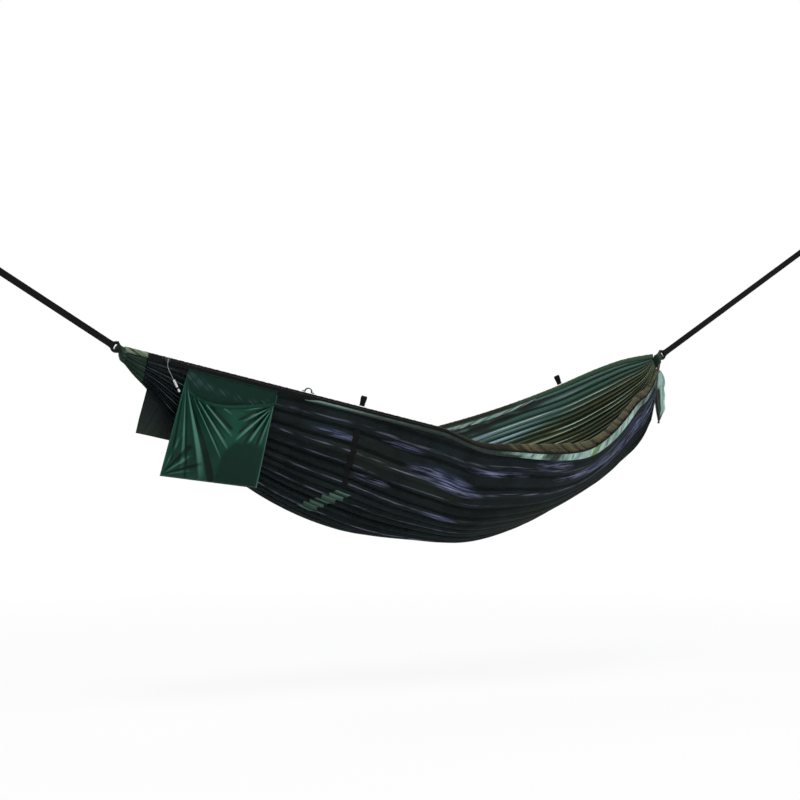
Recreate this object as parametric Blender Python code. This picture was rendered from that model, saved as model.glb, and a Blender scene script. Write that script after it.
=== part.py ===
"""A gathered-end camping hammock with its mosquito net turned under the bed, hung by webbing.

Metres, +Z up. The origin is the left hang point, where the left strap pulls on its channel cord. +X runs
to the right hang point, and -Y is the near side, where the zip and the pocket are. Every table of shares
holds rows of a place along the span, as a share of it, and a value as a share of the size named beside it.
"""

import bmesh
import bpy
import numpy as np

# Overall sizes
SPAN = 2.48
HALF_WIDTH = 0.29
RIM_DROP = 0.388
BED_DROP = 0.56
NET_DROP = 0.747
CLOTH_START = 0.030
HANG_ANGLE = np.radians(30.5)
RIM_LEAN = np.radians(7.0)
GAP = 0.0003

# Cloth
CLOTH_THICKNESS = 0.0016
BED_FOLD = 0.011
NET_FOLD = 0.012
BED_FOLDS = 5
NET_FOLDS = 6
BED_CELLS = 18
NET_CELLS = 24
MAIN_STATIONS = 24
PANEL_LENGTH = 0.080
PANEL_STATIONS = 4
RIGHT_PANEL_LENGTH = 0.032
RIGHT_PANEL_STATIONS = 3
PANEL_OUT = 0.0038

# Rims
HEM_WIDTH = 0.012
HEM_HEIGHT = 0.022
HEM_CHAMFER = 0.0035
HEM_ROLL = 0.022
HEM_SLUMP_SHARE = 0.3
TAPE_THICKNESS = 0.0024
TAPE_HEIGHT = 0.025
TAPE_RISE = 0.009
FAR_BORDER_HEIGHT = 0.019
BORDER_HEIGHT = 0.034
BORDER_START_SHARE = 0.275
TAPE_END_SHARE = 0.93

# Places along the rims, as shares of the span, with values as shares of the size in each name
NEAR_OUT_SHARES = ((0, 0.03), (0.486, 0.90), (0.555, 0.965), (0.62, 1.0), (0.70, 0.96), (0.776, 0.83),
                   (0.831, 0.69), (0.876, 0.52), (0.916, 0.35), (0.954, 0.2), (0.979, 0.1), (1, 0.03))
NEAR_DROP_SHARES = ((0, 0), (0.486, 0.77), (0.555, 0.928), (0.62, 0.972), (0.70, 1.0), (0.776, 0.956),
                    (0.831, 0.81), (0.876, 0.647), (0.916, 0.49), (0.954, 0.374), (0.979, 0.2), (1, 0))
FAR_OUT_SHARES = ((0, 0.03), (0.05, 0.2), (0.12, 0.45), (0.2, 0.7), (0.3, 0.92), (0.4, 1.0), (0.514, 0.95),
                  (0.653, 0.9), (0.744, 0.83), (0.83, 0.69), (0.911, 0.45), (0.946, 0.28), (1, 0.03))
FAR_DROP_SHARES = ((0, 0), (0.04, 0.2), (0.1, 0.46), (0.2, 0.8), (0.3, 0.97), (0.38, 1.0), (0.5, 0.93),
                   (0.653, 0.732), (0.744, 0.575), (0.83, 0.384), (0.911, 0.157), (0.946, 0.07), (1, 0))
BED_KEEL_SHARES = ((0, 0.06), (0.012, 0.075), (0.05, 0.2), (0.12, 0.48), (0.25, 0.8), (0.4, 0.97), (0.52, 1.0),
                   (0.65, 0.96), (0.78, 0.84), (0.88, 0.66), (0.95, 0.42), (0.975, 0.26), (0.988, 0.1), (1, 0.06))
NET_KEEL_SHARES = ((0, 0.06), (0.012, 0.072), (0.03, 0.13), (0.055, 0.2), (0.12, 0.42), (0.244, 0.715),
                   (0.379, 0.918), (0.5, 0.985), (0.568, 1.0), (0.68, 0.925), (0.784, 0.779), (0.898, 0.601),
                   (0.967, 0.404), (0.981, 0.3), (0.988, 0.13), (1, 0.06))
NET_POWER_SHARES = ((0, 1.6), (0.35, 1.6), (0.55, 2.1), (1, 2.1))
BED_POWER_SHARES = ((0, 2.0), (1, 2.0))
BED_FOLD_SHARES = ((0, 0), (0.03, 0.1), (0.1, 0.6), (0.22, 1.0), (0.5, 0.4), (0.78, 1.0), (0.92, 0.6), (0.97, 0.1),
                   (1, 0))
NET_FOLD_SHARES = ((0, 0), (0.065, 0.1), (0.2, 0.9), (0.4, 1.0), (0.6, 0.6), (0.85, 0.5), (0.95, 0.1), (1, 0))
TAPE_TOP_SHARES = ((0, -0.36), (0.45, -0.36), (0.58, 0.16), (1, 0.16))
TAPE_FOOT_SHARES = ((0, 0.64), (0.275, 0.64), (0.30, 0.24), (0.5, 0.24), (0.6, 0.36), (1, 0.36))
BORDER_HEIGHT_SHARES = ((0, 0.09), (0.275, 0.09), (0.30, 0.41), (0.5, 0.41), (0.62, 0.6), (0.75, 0.8),
                        (0.87, 1.0), (0.95, 0.6), (1, 0.5))
HEM_ROLL_SHARES = ((0, 0), (0.5, 0), (0.62, 0.55), (0.7, 1.0), (0.78, 0.85), (0.86, 0.95), (0.94, 0.6), (0.975, 0.1),
                   (1, 0))
NET_PHASE_SHARE = 0.35
CALM_POWER = 0.7

# Pieces sewn on the net
PATCH_THICKNESS = 0.0012
PATCH_WIDTH = 0.060
PATCH_PLACE_SHARES = (0.378, 0.306)
PATCH_CELLS = (7, 10)
PATCH_ROWS = 4
BAND_WIDTH = 0.024
BAND_CELLS = (1, 6)

# Gathers and channel cords
GATHER_START = 0.0135
GATHER_SIDES = 20
GATHER_LOBES = 10
GATHER_LOBE_SHARE = 0.05
GATHER_PLACE_SHARES = (0, 0.18, 0.52, 1)
GATHER_WIDTH = 0.027
GATHER_HEIGHT = 0.033
GATHER_SINK = 0.022
GATHER_WIDTH_SHARES = (0.45, 0.52, 0.89, 1)
GATHER_HEIGHT_SHARES = (0.70, 0.73, 0.94, 1)
GATHER_SINK_SHARES = (0, 0.25, 0.9, 1)
CHANNEL_RADIUS = 0.018
CHANNEL_CORD_RADIUS = 0.003
CHANNEL_STEPS = 18
CORD_BEVEL_STEPS = 2

# Straps
WEBBING_WIDTH = 0.025
WEBBING_THICKNESS = 0.002
LEFT_STRAP_LENGTH = 0.655
RIGHT_STRAP_LENGTH = 1.075
EYE_START = 0.0055
EYE_LENGTH = 0.024
EYE_HALF_GAP = 0.0045
STITCH_LENGTH = 0.045
END_LOOP_LENGTH = 0.070
END_LOOP_HALF_GAP = 0.010
PLY_STEP = 0.004
LOOP_ARC_STEPS = 8
LOOP_SHOULDER_SHARE = 0.45

# Zip
SLIDER_PLACE = 0.186
COIL_START = 0.170
COIL_END = 1.235
COIL_DOWN = -0.002
COIL_HEIGHT = 0.003
COIL_THICKNESS = 0.0012
STOP_LENGTH = 0.004
STOP_HEIGHT = 0.006
SLIDER_LENGTH = 0.022
SLIDER_NOSE = 0.005
SLIDER_HEIGHT = 0.014
SLIDER_THICKNESS = 0.0045
SLIDER_CLEARANCE = 0.0004
SLIDER_CHAMFER = 0.0012
BAIL_REACH = 0.0117
BAIL_HALF_SPAN = 0.0065
BAIL_SHOULDER = 0.0025
BAIL_RADIUS = 0.0011
PULL_LOOP_RADIUS = 0.0042
PULL_CORD_RADIUS = 0.00125
PULL_CLEARANCE = 0.0003
KNOT_RADIUS = 0.003
PULL_DROP = 0.060
PULL_ROUTE_SHARES = ((0.0, 0.0), (0.017, 0.23), (0.1, 0.47), (0.23, 0.73), (0.37, 1.0))
PULL_STEPS = 18
TOGGLE_LENGTH = 0.048
TOGGLE_RADIUS = 0.0042
TOGGLE_SIDES = 12
TOGGLE_PLACE_SHARES = (0, 0, 0.08, 0.2, 0.25, 0.45, 0.5, 0.72, 0.77, 0.92, 1, 1)
TOGGLE_RADIUS_SHARES = (0, 0.5, 0.85, 1, 0.8, 1, 0.8, 1, 0.8, 1, 0.6, 0)

# Tabs and loop on the rims
TAB_WIDTH = 0.020
TAB_HEIGHT = 0.038
TAB_PLY = 0.0015
TAB_STUB = 0.006
TAB_HALF_GAP = 0.0065
TAB_BASE_SHARES = ((-1, 0.3), (-0.7, 0.71), (0, 1))
NEAR_TAB_PLACE = 0.941
FAR_TAB_SHARE = 0.845
ARCH_POWER = 0.8
ARCH_PLACE = 0.727
ARCH_LENGTH = 0.044
ARCH_FOOT = 0.009
ARCH_HEIGHT = 0.0135
ARCH_WIDTH = 0.011
ARCH_STEPS = 10

# Pocket
POCKET_PLACE = 0.268
POCKET_WIDTH = 0.343
POCKET_LEFT_HEIGHT = 0.397
POCKET_RIGHT_HEIGHT = 0.360
POCKET_FLARE = 0.018
POCKET_LAP = 0.004
POCKET_HEM_RADIUS = 0.00175
POCKET_BACK_THICKNESS = 0.0014
POCKET_FRONT_THICKNESS = 0.0012
POCKET_HEM_SIDES = 8
MOUTH_HEM_WIDTH = 0.012
MOUTH_HEM_THICKNESS = 0.003
MOUTH_GAPE = 0.0095
POCKET_BULGE = 0.024
POCKET_FOLD = 0.0045
POCKET_ACROSS = 20
POCKET_DOWN = 12
MOUTH_DROP = 0.108
MOUTH_DROP_SHARES = ((0, 0.36), (0.05, 0.68), (0.15, 0.9), (0.3, 1.0), (0.45, 0.98), (0.7, 0.8), (0.9, 0.6), (1, 0.5))
POCKET_ARCH_POWER = 0.6
POCKET_GAPE_POWER = 0.5
POCKET_BAG_POWERS = (1.35, 1.2)
POCKET_REACH_POWER = 0.8
POCKET_FAN_FOLDS = (15, 13)
POCKET_FAN_SHARES = (0.02, 0.05)
CORNER_LOOP_LENGTH = 0.034
CORNER_LOOP_WIDTH = 0.008
CORNER_LOOP_START = 0.012

# Flaps
FLAP_THICKNESS = 0.0012
LEFT_FLAP_TOP_SHARES = (0.053, 0.115)
LEFT_FLAP_REACH = 0.090
LEFT_FLAP_FOOT = 0.306
LEFT_FLAP_CORNER = 0.345
LEFT_FLAP_RIPPLE = 0.004
RIGHT_FLAP_LENGTH = 0.232
RIGHT_FLAP_WIDTH = 0.058
RIGHT_FLAP_LEFT_SHARES = ((0, 0), (0.1, 0.0), (0.6, 0.1), (1, 0.17))
RIGHT_FLAP_RIGHT_SHARES = ((0, 0.06), (0.07, 0.5), (0.3, 0.94), (0.6, 1.0), (0.85, 0.74), (1, 0.24))
RIGHT_FLAP_RIPPLE = 0.006
FLAP_ACROSS = 8
FLAP_DOWN = 8

NEAR, FAR = -1.0, 1.0
UP = np.array((0.0, 0.0, 1.0))


def clear_scene():
    """Remove every object that is there at the start."""
    for thing in list(bpy.data.objects):
        bpy.data.objects.remove(thing, do_unlink=True)


def make_material(name, colour, roughness, metallic=0.0):
    """A plain Principled material."""
    material = bpy.data.materials.new(name)
    material.use_nodes = True
    shader = material.node_tree.nodes["Principled BSDF"]
    shader.inputs["Base Color"].default_value = (*colour, 1.0)
    shader.inputs["Roughness"].default_value = roughness
    shader.inputs["Metallic"].default_value = metallic
    return material


def add_object(name, data, material, carrier=None):
    """Put a mesh or curve given in world places into the scene, carried by an empty if one is named."""
    thing = bpy.data.objects.new(name, data)
    bpy.context.scene.collection.objects.link(thing)
    data.materials.append(material)
    if carrier is not None:
        thing.parent = carrier
        thing.matrix_parent_inverse = carrier.matrix_world.inverted()
    return thing


def add_pivot(name, place):
    """An empty on a joint's axis, which carries the pieces that move with it."""
    pivot = bpy.data.objects.new(name, None)
    pivot.location = tuple(place)
    bpy.context.scene.collection.objects.link(pivot)
    bpy.context.view_layer.update()
    return pivot


def make_mesh(name, points, faces, smooth=True, sharp_degrees=40.0):
    """A closed mesh with its faces pointing out."""
    mesh = bpy.data.meshes.new(name)
    mesh.from_pydata([tuple(point) for point in points], [], faces)
    form = bmesh.new()
    form.from_mesh(mesh)
    bmesh.ops.recalc_face_normals(form, faces=form.faces)
    form.to_mesh(mesh)
    form.free()
    if smooth:
        mesh.shade_smooth()
        mesh.set_sharp_from_angle(angle=np.radians(sharp_degrees))
    return mesh


def along(table, places):
    """Smooth curve through a table's rows that never swings past them (cubic, with limited slopes)."""
    rows = np.array(table, float)
    at, value = rows[:, 0], rows[:, 1]
    places = np.clip(np.asarray(places, float), at[0], at[-1])
    secant = np.diff(value) / np.diff(at)
    slope = np.concatenate([secant[:1], (secant[:-1] + secant[1:]) / 2, secant[-1:]])
    turning = secant[:-1] * secant[1:] <= 0
    least = np.minimum(np.abs(secant[:-1]), np.abs(secant[1:]))
    inner = np.sign(slope[1:-1]) * np.minimum(np.abs(slope[1:-1]), 3 * least)
    slope[1:-1] = np.where(turning, 0.0, inner)
    k = np.clip(np.searchsorted(at, places, side="right") - 1, 0, len(at) - 2)
    length = at[k + 1] - at[k]
    u = (places - at[k]) / length
    start = (1 + 2 * u) * (1 - u) ** 2 * value[k] + u * (1 - u) ** 2 * length * slope[k]
    return start + u**2 * (3 - 2 * u) * value[k + 1] + u**2 * (u - 1) * length * slope[k + 1]


def with_straight_start(table, places):
    """The same curve, but dead straight between the table's first two rows."""
    (first, low), (second, high) = table[0], table[1]
    line = low + (high - low) * (np.asarray(places, float) - first) / (second - first)
    return np.where(np.asarray(places) <= second, line, along(table, places))


def rim(side, shares):
    """Middle of a rim's hem at places along the span."""
    shares = np.atleast_1d(np.asarray(shares, float))
    if side == NEAR:
        out = with_straight_start(NEAR_OUT_SHARES, shares)
        drop = with_straight_start(NEAR_DROP_SHARES, shares)
    else:
        out = along(FAR_OUT_SHARES, shares)
        drop = along(FAR_DROP_SHARES, shares)
    return np.stack([shares * SPAN, side * HALF_WIDTH * out, -RIM_DROP * drop], -1)


def rim_axes(side):
    """Directions down and out from a rim, square to the span, leaning inward going down."""
    down = np.array((0.0, -side * np.sin(RIM_LEAN), -np.cos(RIM_LEAN)))
    out = np.array((0.0, side * np.cos(RIM_LEAN), -np.sin(RIM_LEAN)))
    return down, out


def rim_point(side, shares, out, down):
    """Places beside a rim, given outward and downward distances from the middle of its hem."""
    down_axis, out_axis = rim_axes(side)
    out = np.broadcast_to(out, np.shape(shares))[..., None]
    down = np.broadcast_to(down, np.shape(shares))[..., None]
    return rim(side, shares) + out * out_axis + down * down_axis


def eased(count):
    """Rising numbers from 0 to 1, half evenly spaced and half crowded towards the ends."""
    even = np.linspace(0, 1, count)
    return (even + 0.5 - 0.5 * np.cos(np.pi * even)) / 2


LEFT_SHARES = np.linspace(CLOTH_START, CLOTH_START + PANEL_LENGTH, PANEL_STATIONS) / SPAN
RIGHT_SHARES = 1 - np.linspace(CLOTH_START + RIGHT_PANEL_LENGTH, CLOTH_START, RIGHT_PANEL_STATIONS) / SPAN
MAIN_START_SHARE = LEFT_SHARES[-1] + GAP / SPAN
MAIN_END_SHARE = RIGHT_SHARES[0] - GAP / SPAN
MAIN_SHARES = MAIN_START_SHARE + (MAIN_END_SHARE - MAIN_START_SHARE) * eased(MAIN_STATIONS)
ALL_SHARES = np.concatenate([LEFT_SHARES, MAIN_SHARES[1:-1], RIGHT_SHARES])


def tape_back():
    """How far out from the middle of a hem the back of its tape lies."""
    return HEM_WIDTH / 2 + GAP


def tape_face():
    """How far out from the middle of a hem the face of its tape lies."""
    return tape_back() + TAPE_THICKNESS


def net_top(side, shares):
    """How far below the middle of the hem the net's edge lies, under the tape and the border."""
    if side == FAR:
        return np.full(len(shares), FAR_BORDER_HEIGHT - TAPE_RISE + GAP)
    foot = TAPE_HEIGHT * along(TAPE_FOOT_SHARES, shares) + GAP
    border = BORDER_HEIGHT * along(BORDER_HEIGHT_SHARES, shares) + GAP
    return foot + np.where(shares >= BORDER_START_SHARE, border, 0.0)


def hanging_cloth(shares, cells, edges, keel, drop, power, folds):
    """Grid of a cloth that hangs as a trough between two rims.

    edges holds the cloth's near and far edges. Each section falls from the line between them by its depth
    times one less a power of the share of the way out, so that a higher power makes a fuller trough. folds
    holds the depth along the cloth, the number of folds, their drift and how far they lean to the inside.
    Returns the points and the directions square to each section.
    """
    across = np.linspace(0, 1, cells + 1)
    near, far = edges
    share_out = 2 * across - 1
    y = near[:, 1, None] * (1 - across) + far[:, 1, None] * across
    line = near[:, 2, None] * (1 - across) + far[:, 2, None] * across
    depth = (near[:, 2] + far[:, 2]) / 2 + drop * along(keel, shares)
    fall = 1 - np.abs(share_out) ** along(power, shares)[:, None]
    z = line - depth[:, None] * fall
    slope_y, slope_z = np.gradient(y, axis=1), np.gradient(z, axis=1)
    length = np.hypot(slope_y, slope_z)
    inward_y, inward_z = -slope_z / length, slope_y / length
    size, count, drift, lean = folds
    phase = 2 * np.pi * (count * across[None, :] + drift * shares[:, None])
    calm = np.sin(np.pi * across) ** CALM_POWER
    push = size[:, None] * calm * (np.sin(phase) + lean)
    x = np.broadcast_to(shares[:, None] * SPAN, y.shape)
    inward = np.stack([np.zeros_like(y), inward_y, inward_z], -1)
    return np.stack([x, y, z], -1) + push[..., None] * inward, inward


def thick_sheet(points, inward, thickness):
    """Points and faces of a closed sheet made from a grid and its inward directions."""
    rows, columns = points.shape[:2]
    shell = np.concatenate([points - inward * thickness / 2, points + inward * thickness / 2])
    corners = shell.reshape(-1, 3)
    index = np.arange(2 * rows * columns).reshape(2, rows, columns)
    outer, inner = index
    faces = []
    for layer, turn in ((outer, 1), (inner, -1)):
        quads = np.stack([layer[:-1, :-1], layer[1:, :-1], layer[1:, 1:], layer[:-1, 1:]], -1)
        faces += quads.reshape(-1, 4)[:, ::turn].tolist()
    for edge in (np.s_[0, :], np.s_[-1, :], np.s_[:, 0], np.s_[:, -1]):
        low, high = outer[edge], inner[edge]
        faces += np.stack([low[:-1], low[1:], high[1:], high[:-1]], -1).tolist()
    return corners, faces


def lofted(rings):
    """Points and faces of a body through rings of points, with flat ends."""
    count, sides = rings.shape[:2]
    index = np.arange(count * sides).reshape(count, sides)
    turned = np.roll(index, -1, axis=1)
    quads = np.stack([index[:-1], turned[:-1], turned[1:], index[1:]], -1).reshape(-1, 4).tolist()
    return rings.reshape(-1, 3), [*quads, index[0].tolist(), index[-1].tolist()]


def prism(points, cells, origin, axes, width):
    """Points and faces of flat cells drawn out to a width. axes holds the two drawing directions and the third."""
    points = np.array(points, float)
    first, second, third = axes
    flat = origin + points[:, :1] * first + points[:, 1:] * second
    corners = np.concatenate([flat - third * width / 2, flat + third * width / 2])
    count = len(points)
    used = {}
    for cell in cells:
        for a, b in zip(cell, cell[1:] + cell[:1]):
            used.setdefault(frozenset((a, b)), []).append((a, b))
    faces = [list(cell) for cell in cells] + [[k + count for k in reversed(cell)] for cell in cells]
    for edges in used.values():
        if len(edges) == 1:
            a, b = edges[0]
            faces.append([b, a, a + count, b + count])
    return corners, faces


def loop_cells(tip, round_end, half_gap, ply):
    """Outline of a folded webbing loop, from its pointed, stitched tip to its round end and back.

    Returns drawing points and cells. Point 0 is the tip's middle, point 1 its upper face and the last its
    lower face. round_end is the inside of the fold, and may lie before the tip.
    """
    turn = 1.0 if round_end > tip else -1.0
    centre = round_end - turn * half_gap
    shoulder = tip + (centre - tip) * LOOP_SHOULDER_SHARE
    angles = np.linspace(np.pi / 2, -np.pi / 2, LOOP_ARC_STEPS + 1)
    arc = [(centre + turn * half_gap * np.cos(a), half_gap * np.sin(a)) for a in angles]
    outer_arc = [(centre + turn * (half_gap + ply) * np.cos(a), (half_gap + ply) * np.sin(a)) for a in angles]
    inner = [(shoulder, half_gap), *arc, (shoulder, -half_gap)]
    outer = [(shoulder, half_gap + ply), *outer_arc, (shoulder, -half_gap - ply)]
    count = len(inner)
    points = [(tip, 0.0), (tip, ply), *inner, *outer, (tip, -ply)]
    last = 2 + 2 * count
    cells = [[0, 1, 2 + count, 2]]
    cells += [[2 + k, 2 + count + k, 3 + count + k, 3 + k] for k in range(count - 1)]
    cells += [[1 + count, 1 + 2 * count, last, 0]]
    return points, cells


def webbing(stages, loops, ply):
    """Drawing of a webbing run. stages holds places along it with half thicknesses, from loop to loop."""
    points, cells = [], []
    ends = []
    for loop in loops:
        loop_points, loop_faces = loop_cells(*loop, ply)
        start = len(points)
        points += loop_points
        cells += [[k + start for k in cell] for cell in loop_faces]
        ends.append([start + 1, start, start + len(loop_points) - 1])
    columns = [ends[0]]
    for place, half in stages:
        start = len(points)
        points += [(place, half), (place, 0.0), (place, -half)]
        columns.append([start, start + 1, start + 2])
    if len(ends) > 1:
        columns.append(ends[1])
    for before, after in zip(columns, columns[1:]):
        cells += [[before[k], before[k + 1], after[k + 1], after[k]] for k in range(2)]
    return points, cells


def tube(name, route, radius, material, carrier=None):
    """A cord through its route's points, with closed ends."""
    curve = bpy.data.curves.new(name, "CURVE")
    curve.dimensions = "3D"
    curve.bevel_depth = radius
    curve.bevel_resolution = CORD_BEVEL_STEPS
    curve.use_fill_caps = True
    spline = curve.splines.new("POLY")
    spline.points.add(len(route) - 1)
    for point, place in zip(spline.points, route):
        point.co = (*place, 1.0)
    return add_object(name, curve, material, carrier)


def tape_axes():
    """Directions along the near rim's straight stretch, down its tape and out from it."""
    ends = rim(NEAR, (0.0, NEAR_OUT_SHARES[1][0]))
    run = (ends[1] - ends[0]) / np.linalg.norm(ends[1] - ends[0])
    fall, _ = rim_axes(NEAR)
    down = fall - (fall @ run) * run
    down /= np.linalg.norm(down)
    out = np.cross(down, run)
    return run, down, out * np.sign(-out[1])


def tape_point(place, down, out):
    """A place on the near rim's straight stretch, measured from the outer face of its tape."""
    run, fall, away = tape_axes()
    start = rim_point(NEAR, np.zeros(1), tape_face(), 0.0)[0]
    place, down, out = (np.asarray(value, float)[..., None] for value in (place, down, out))
    return start + place * run + down * fall + out * away


def tape_share(place):
    """The share of the span at a distance along the straight stretch."""
    run, _, _ = tape_axes()
    return place * run[0] / SPAN


def hem_rings(side, shares):
    """Rings of a rolled hem with chamfered corners. The near one is a taller roll that slumps inwards at the right."""
    half_width, half_height = HEM_WIDTH / 2, HEM_HEIGHT / 2
    flat_width, flat_height = half_width - HEM_CHAMFER, half_height - HEM_CHAMFER
    outline = [(flat_width, -half_height), (half_width, -flat_height), (half_width, flat_height),
               (flat_width, half_height), (-flat_width, half_height), (-half_width, flat_height),
               (-half_width, -flat_height), (-flat_width, -half_height)]
    roll = HEM_ROLL * along(HEM_ROLL_SHARES, shares) * (side == NEAR)
    return np.stack([rim_point(side, shares, out - roll * HEM_SLUMP_SHARE * (down < 0), down - roll * (down < 0))
                     for out, down in outline], 1)


def strip_rings(side, shares, top, foot):
    """Rings of a flat strip on the outer side of a hem."""
    inner, outer = tape_back(), tape_face()
    corners = ((inner, top), (outer, top), (outer, foot), (inner, foot))
    return np.stack([rim_point(side, shares, out, down) for out, down in corners], 1)


def net_grid(shares, cells=NET_CELLS):
    """Grid of the net between its borders."""
    out = tape_back() + TAPE_THICKNESS / 2
    near = rim_point(NEAR, shares, out, net_top(NEAR, shares) + CLOTH_THICKNESS / 2)
    far = rim_point(FAR, shares, out, net_top(FAR, shares) + CLOTH_THICKNESS / 2)
    folds = (NET_FOLD * along(NET_FOLD_SHARES, shares) / 2, NET_FOLDS, NET_PHASE_SHARE, 1.0)
    return hanging_cloth(shares, cells, (near, far), NET_KEEL_SHARES, NET_DROP, NET_POWER_SHARES, folds)


def build_bed(materials):
    """The bed cloth, hung between the two rolled hems, with folds that run out from both gathers."""
    foot = HEM_HEIGHT / 2 + GAP + CLOTH_THICKNESS / 2
    near = rim_point(NEAR, ALL_SHARES, 0.0, foot)
    far = rim_point(FAR, ALL_SHARES, 0.0, foot)
    folds = (BED_FOLD * along(BED_FOLD_SHARES, ALL_SHARES) / 2, BED_FOLDS, 0.0, 1.0)
    grid = hanging_cloth(ALL_SHARES, BED_CELLS, (near, far), BED_KEEL_SHARES, BED_DROP, BED_POWER_SHARES, folds)
    mesh = make_mesh("bed_cloth", *thick_sheet(*grid, CLOTH_THICKNESS), sharp_degrees=60.0)
    add_object("bed_cloth", mesh, materials["bed"])
    for side, name in ((NEAR, "near_bed_hem"), (FAR, "far_bed_hem")):
        mesh = make_mesh(name, *lofted(hem_rings(side, ALL_SHARES)))
        add_object(name, mesh, materials["hem"])


def build_net(materials):
    """The net, its green end panels and the strips that join it to the hems."""
    mesh = make_mesh("mosquito_net", *thick_sheet(*net_grid(MAIN_SHARES), CLOTH_THICKNESS), sharp_degrees=60.0)
    add_object("mosquito_net", mesh, materials["net"])
    for name, shares in (("left_end_panel", LEFT_SHARES), ("right_end_panel", RIGHT_SHARES)):
        near = rim_point(NEAR, shares, PANEL_OUT, HEM_HEIGHT / 2)
        far = rim_point(FAR, shares, PANEL_OUT, HEM_HEIGHT / 2)
        folds = (np.zeros(len(shares)), NET_FOLDS, 0.0, 0.0)
        grid = hanging_cloth(shares, BED_CELLS, (near, far), NET_KEEL_SHARES, NET_DROP, NET_POWER_SHARES, folds)
        mesh = make_mesh(name, *thick_sheet(*grid, CLOTH_THICKNESS), sharp_degrees=60.0)
        add_object(name, mesh, materials["panel"])
    tape_shares = MAIN_SHARES[MAIN_SHARES <= TAPE_END_SHARE]
    top = TAPE_HEIGHT * along(TAPE_TOP_SHARES, tape_shares)
    foot = TAPE_HEIGHT * along(TAPE_FOOT_SHARES, tape_shares)
    mesh = make_mesh("near_zip_tape", *lofted(strip_rings(NEAR, tape_shares, top, foot)))
    add_object("near_zip_tape", mesh, materials["tape"])
    border_shares = MAIN_SHARES[MAIN_SHARES >= BORDER_START_SHARE]
    top = TAPE_HEIGHT * along(TAPE_FOOT_SHARES, border_shares) + GAP
    foot = top + BORDER_HEIGHT * along(BORDER_HEIGHT_SHARES, border_shares)
    mesh = make_mesh("near_net_border", *lofted(strip_rings(NEAR, border_shares, top, foot)))
    add_object("near_net_border", mesh, materials["border"])
    foot = FAR_BORDER_HEIGHT - TAPE_RISE
    mesh = make_mesh("far_net_border", *lofted(strip_rings(FAR, MAIN_SHARES, -TAPE_RISE, foot)))
    add_object("far_net_border", mesh, materials["tape"])


def sewn_strip(name, places, cells, width, material):
    """A strip sewn on the outside of the net and running across it.

    places holds the strip's middle at its first and last cell line, as shares of the span, cells holds those
    two cell lines, and each row of the strip runs from one side of it to the other.
    """
    points, inward = net_grid(MAIN_SHARES)
    surface = points - inward * (CLOTH_THICKNESS / 2 + GAP + PATCH_THICKNESS / 2)
    columns = np.arange(cells[0], cells[1] + 1)
    middles = np.interp(columns, cells, places)
    corners, directions = [], []
    for side in np.linspace(-0.5, 0.5, PATCH_ROWS):
        shares = middles + side * width / SPAN
        corners.append([[np.interp(share, MAIN_SHARES, surface[:, column, k]) for k in range(3)]
                        for share, column in zip(shares, columns)])
        directions.append([[np.interp(share, MAIN_SHARES, inward[:, column, k]) for k in range(3)]
                           for share, column in zip(shares, columns)])
    mesh = make_mesh(name, *thick_sheet(np.array(corners), np.array(directions), PATCH_THICKNESS))
    add_object(name, mesh, material)


def build_net_trim(materials):
    """The dark band down the net under the near tab, and the pleated green patch that runs down to its foot."""
    middle = tape_share(NEAR_TAB_PLACE)
    sewn_strip("net_tab_band", (middle, middle), BAND_CELLS, BAND_WIDTH, materials["tape"])
    sewn_strip("pleat_patch", PATCH_PLACE_SHARES, PATCH_CELLS, PATCH_WIDTH, materials["panel"])


def build_gathers(materials):
    """The bunched cloth at each end and the channel cord that comes out of it as a loop."""
    angles = np.linspace(0, 2 * np.pi, GATHER_SIDES, endpoint=False)
    lobes = 1 + GATHER_LOBE_SHARE * np.cos(GATHER_LOBES * angles)
    length = CLOTH_START - GAP - GATHER_START
    for name, cord_name, hang, turn in (("left_gather", "left_channel_cord", 0.0, 1.0),
                                        ("right_gather", "right_channel_cord", SPAN, -1.0)):
        rings = []
        sizes = zip(GATHER_PLACE_SHARES, GATHER_WIDTH_SHARES, GATHER_HEIGHT_SHARES, GATHER_SINK_SHARES)
        for place, width, height, sink in sizes:
            x = np.full(GATHER_SIDES, hang + turn * (GATHER_START + length * place))
            y = GATHER_WIDTH * width * lobes * np.cos(angles)
            z = GATHER_HEIGHT * height * lobes * np.sin(angles) - GATHER_SINK * sink
            rings.append(np.stack([x, y, z], -1))
        mesh = make_mesh(name, *lofted(np.array(rings)), sharp_degrees=30.0)
        add_object(name, mesh, materials["panel"])
        arc = np.linspace(np.pi / 2, 3 * np.pi / 2, CHANNEL_STEPS + 1)
        route = [(hang + turn * (GATHER_START - GAP), 0.0, CHANNEL_RADIUS)]
        route += [(hang + turn * CHANNEL_RADIUS * np.cos(a), 0.0, CHANNEL_RADIUS * np.sin(a)) for a in arc]
        route += [(hang + turn * (GATHER_START - GAP), 0.0, -CHANNEL_RADIUS)]
        tube(cord_name, route, CHANNEL_CORD_RADIUS, materials["webbing"])


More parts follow.
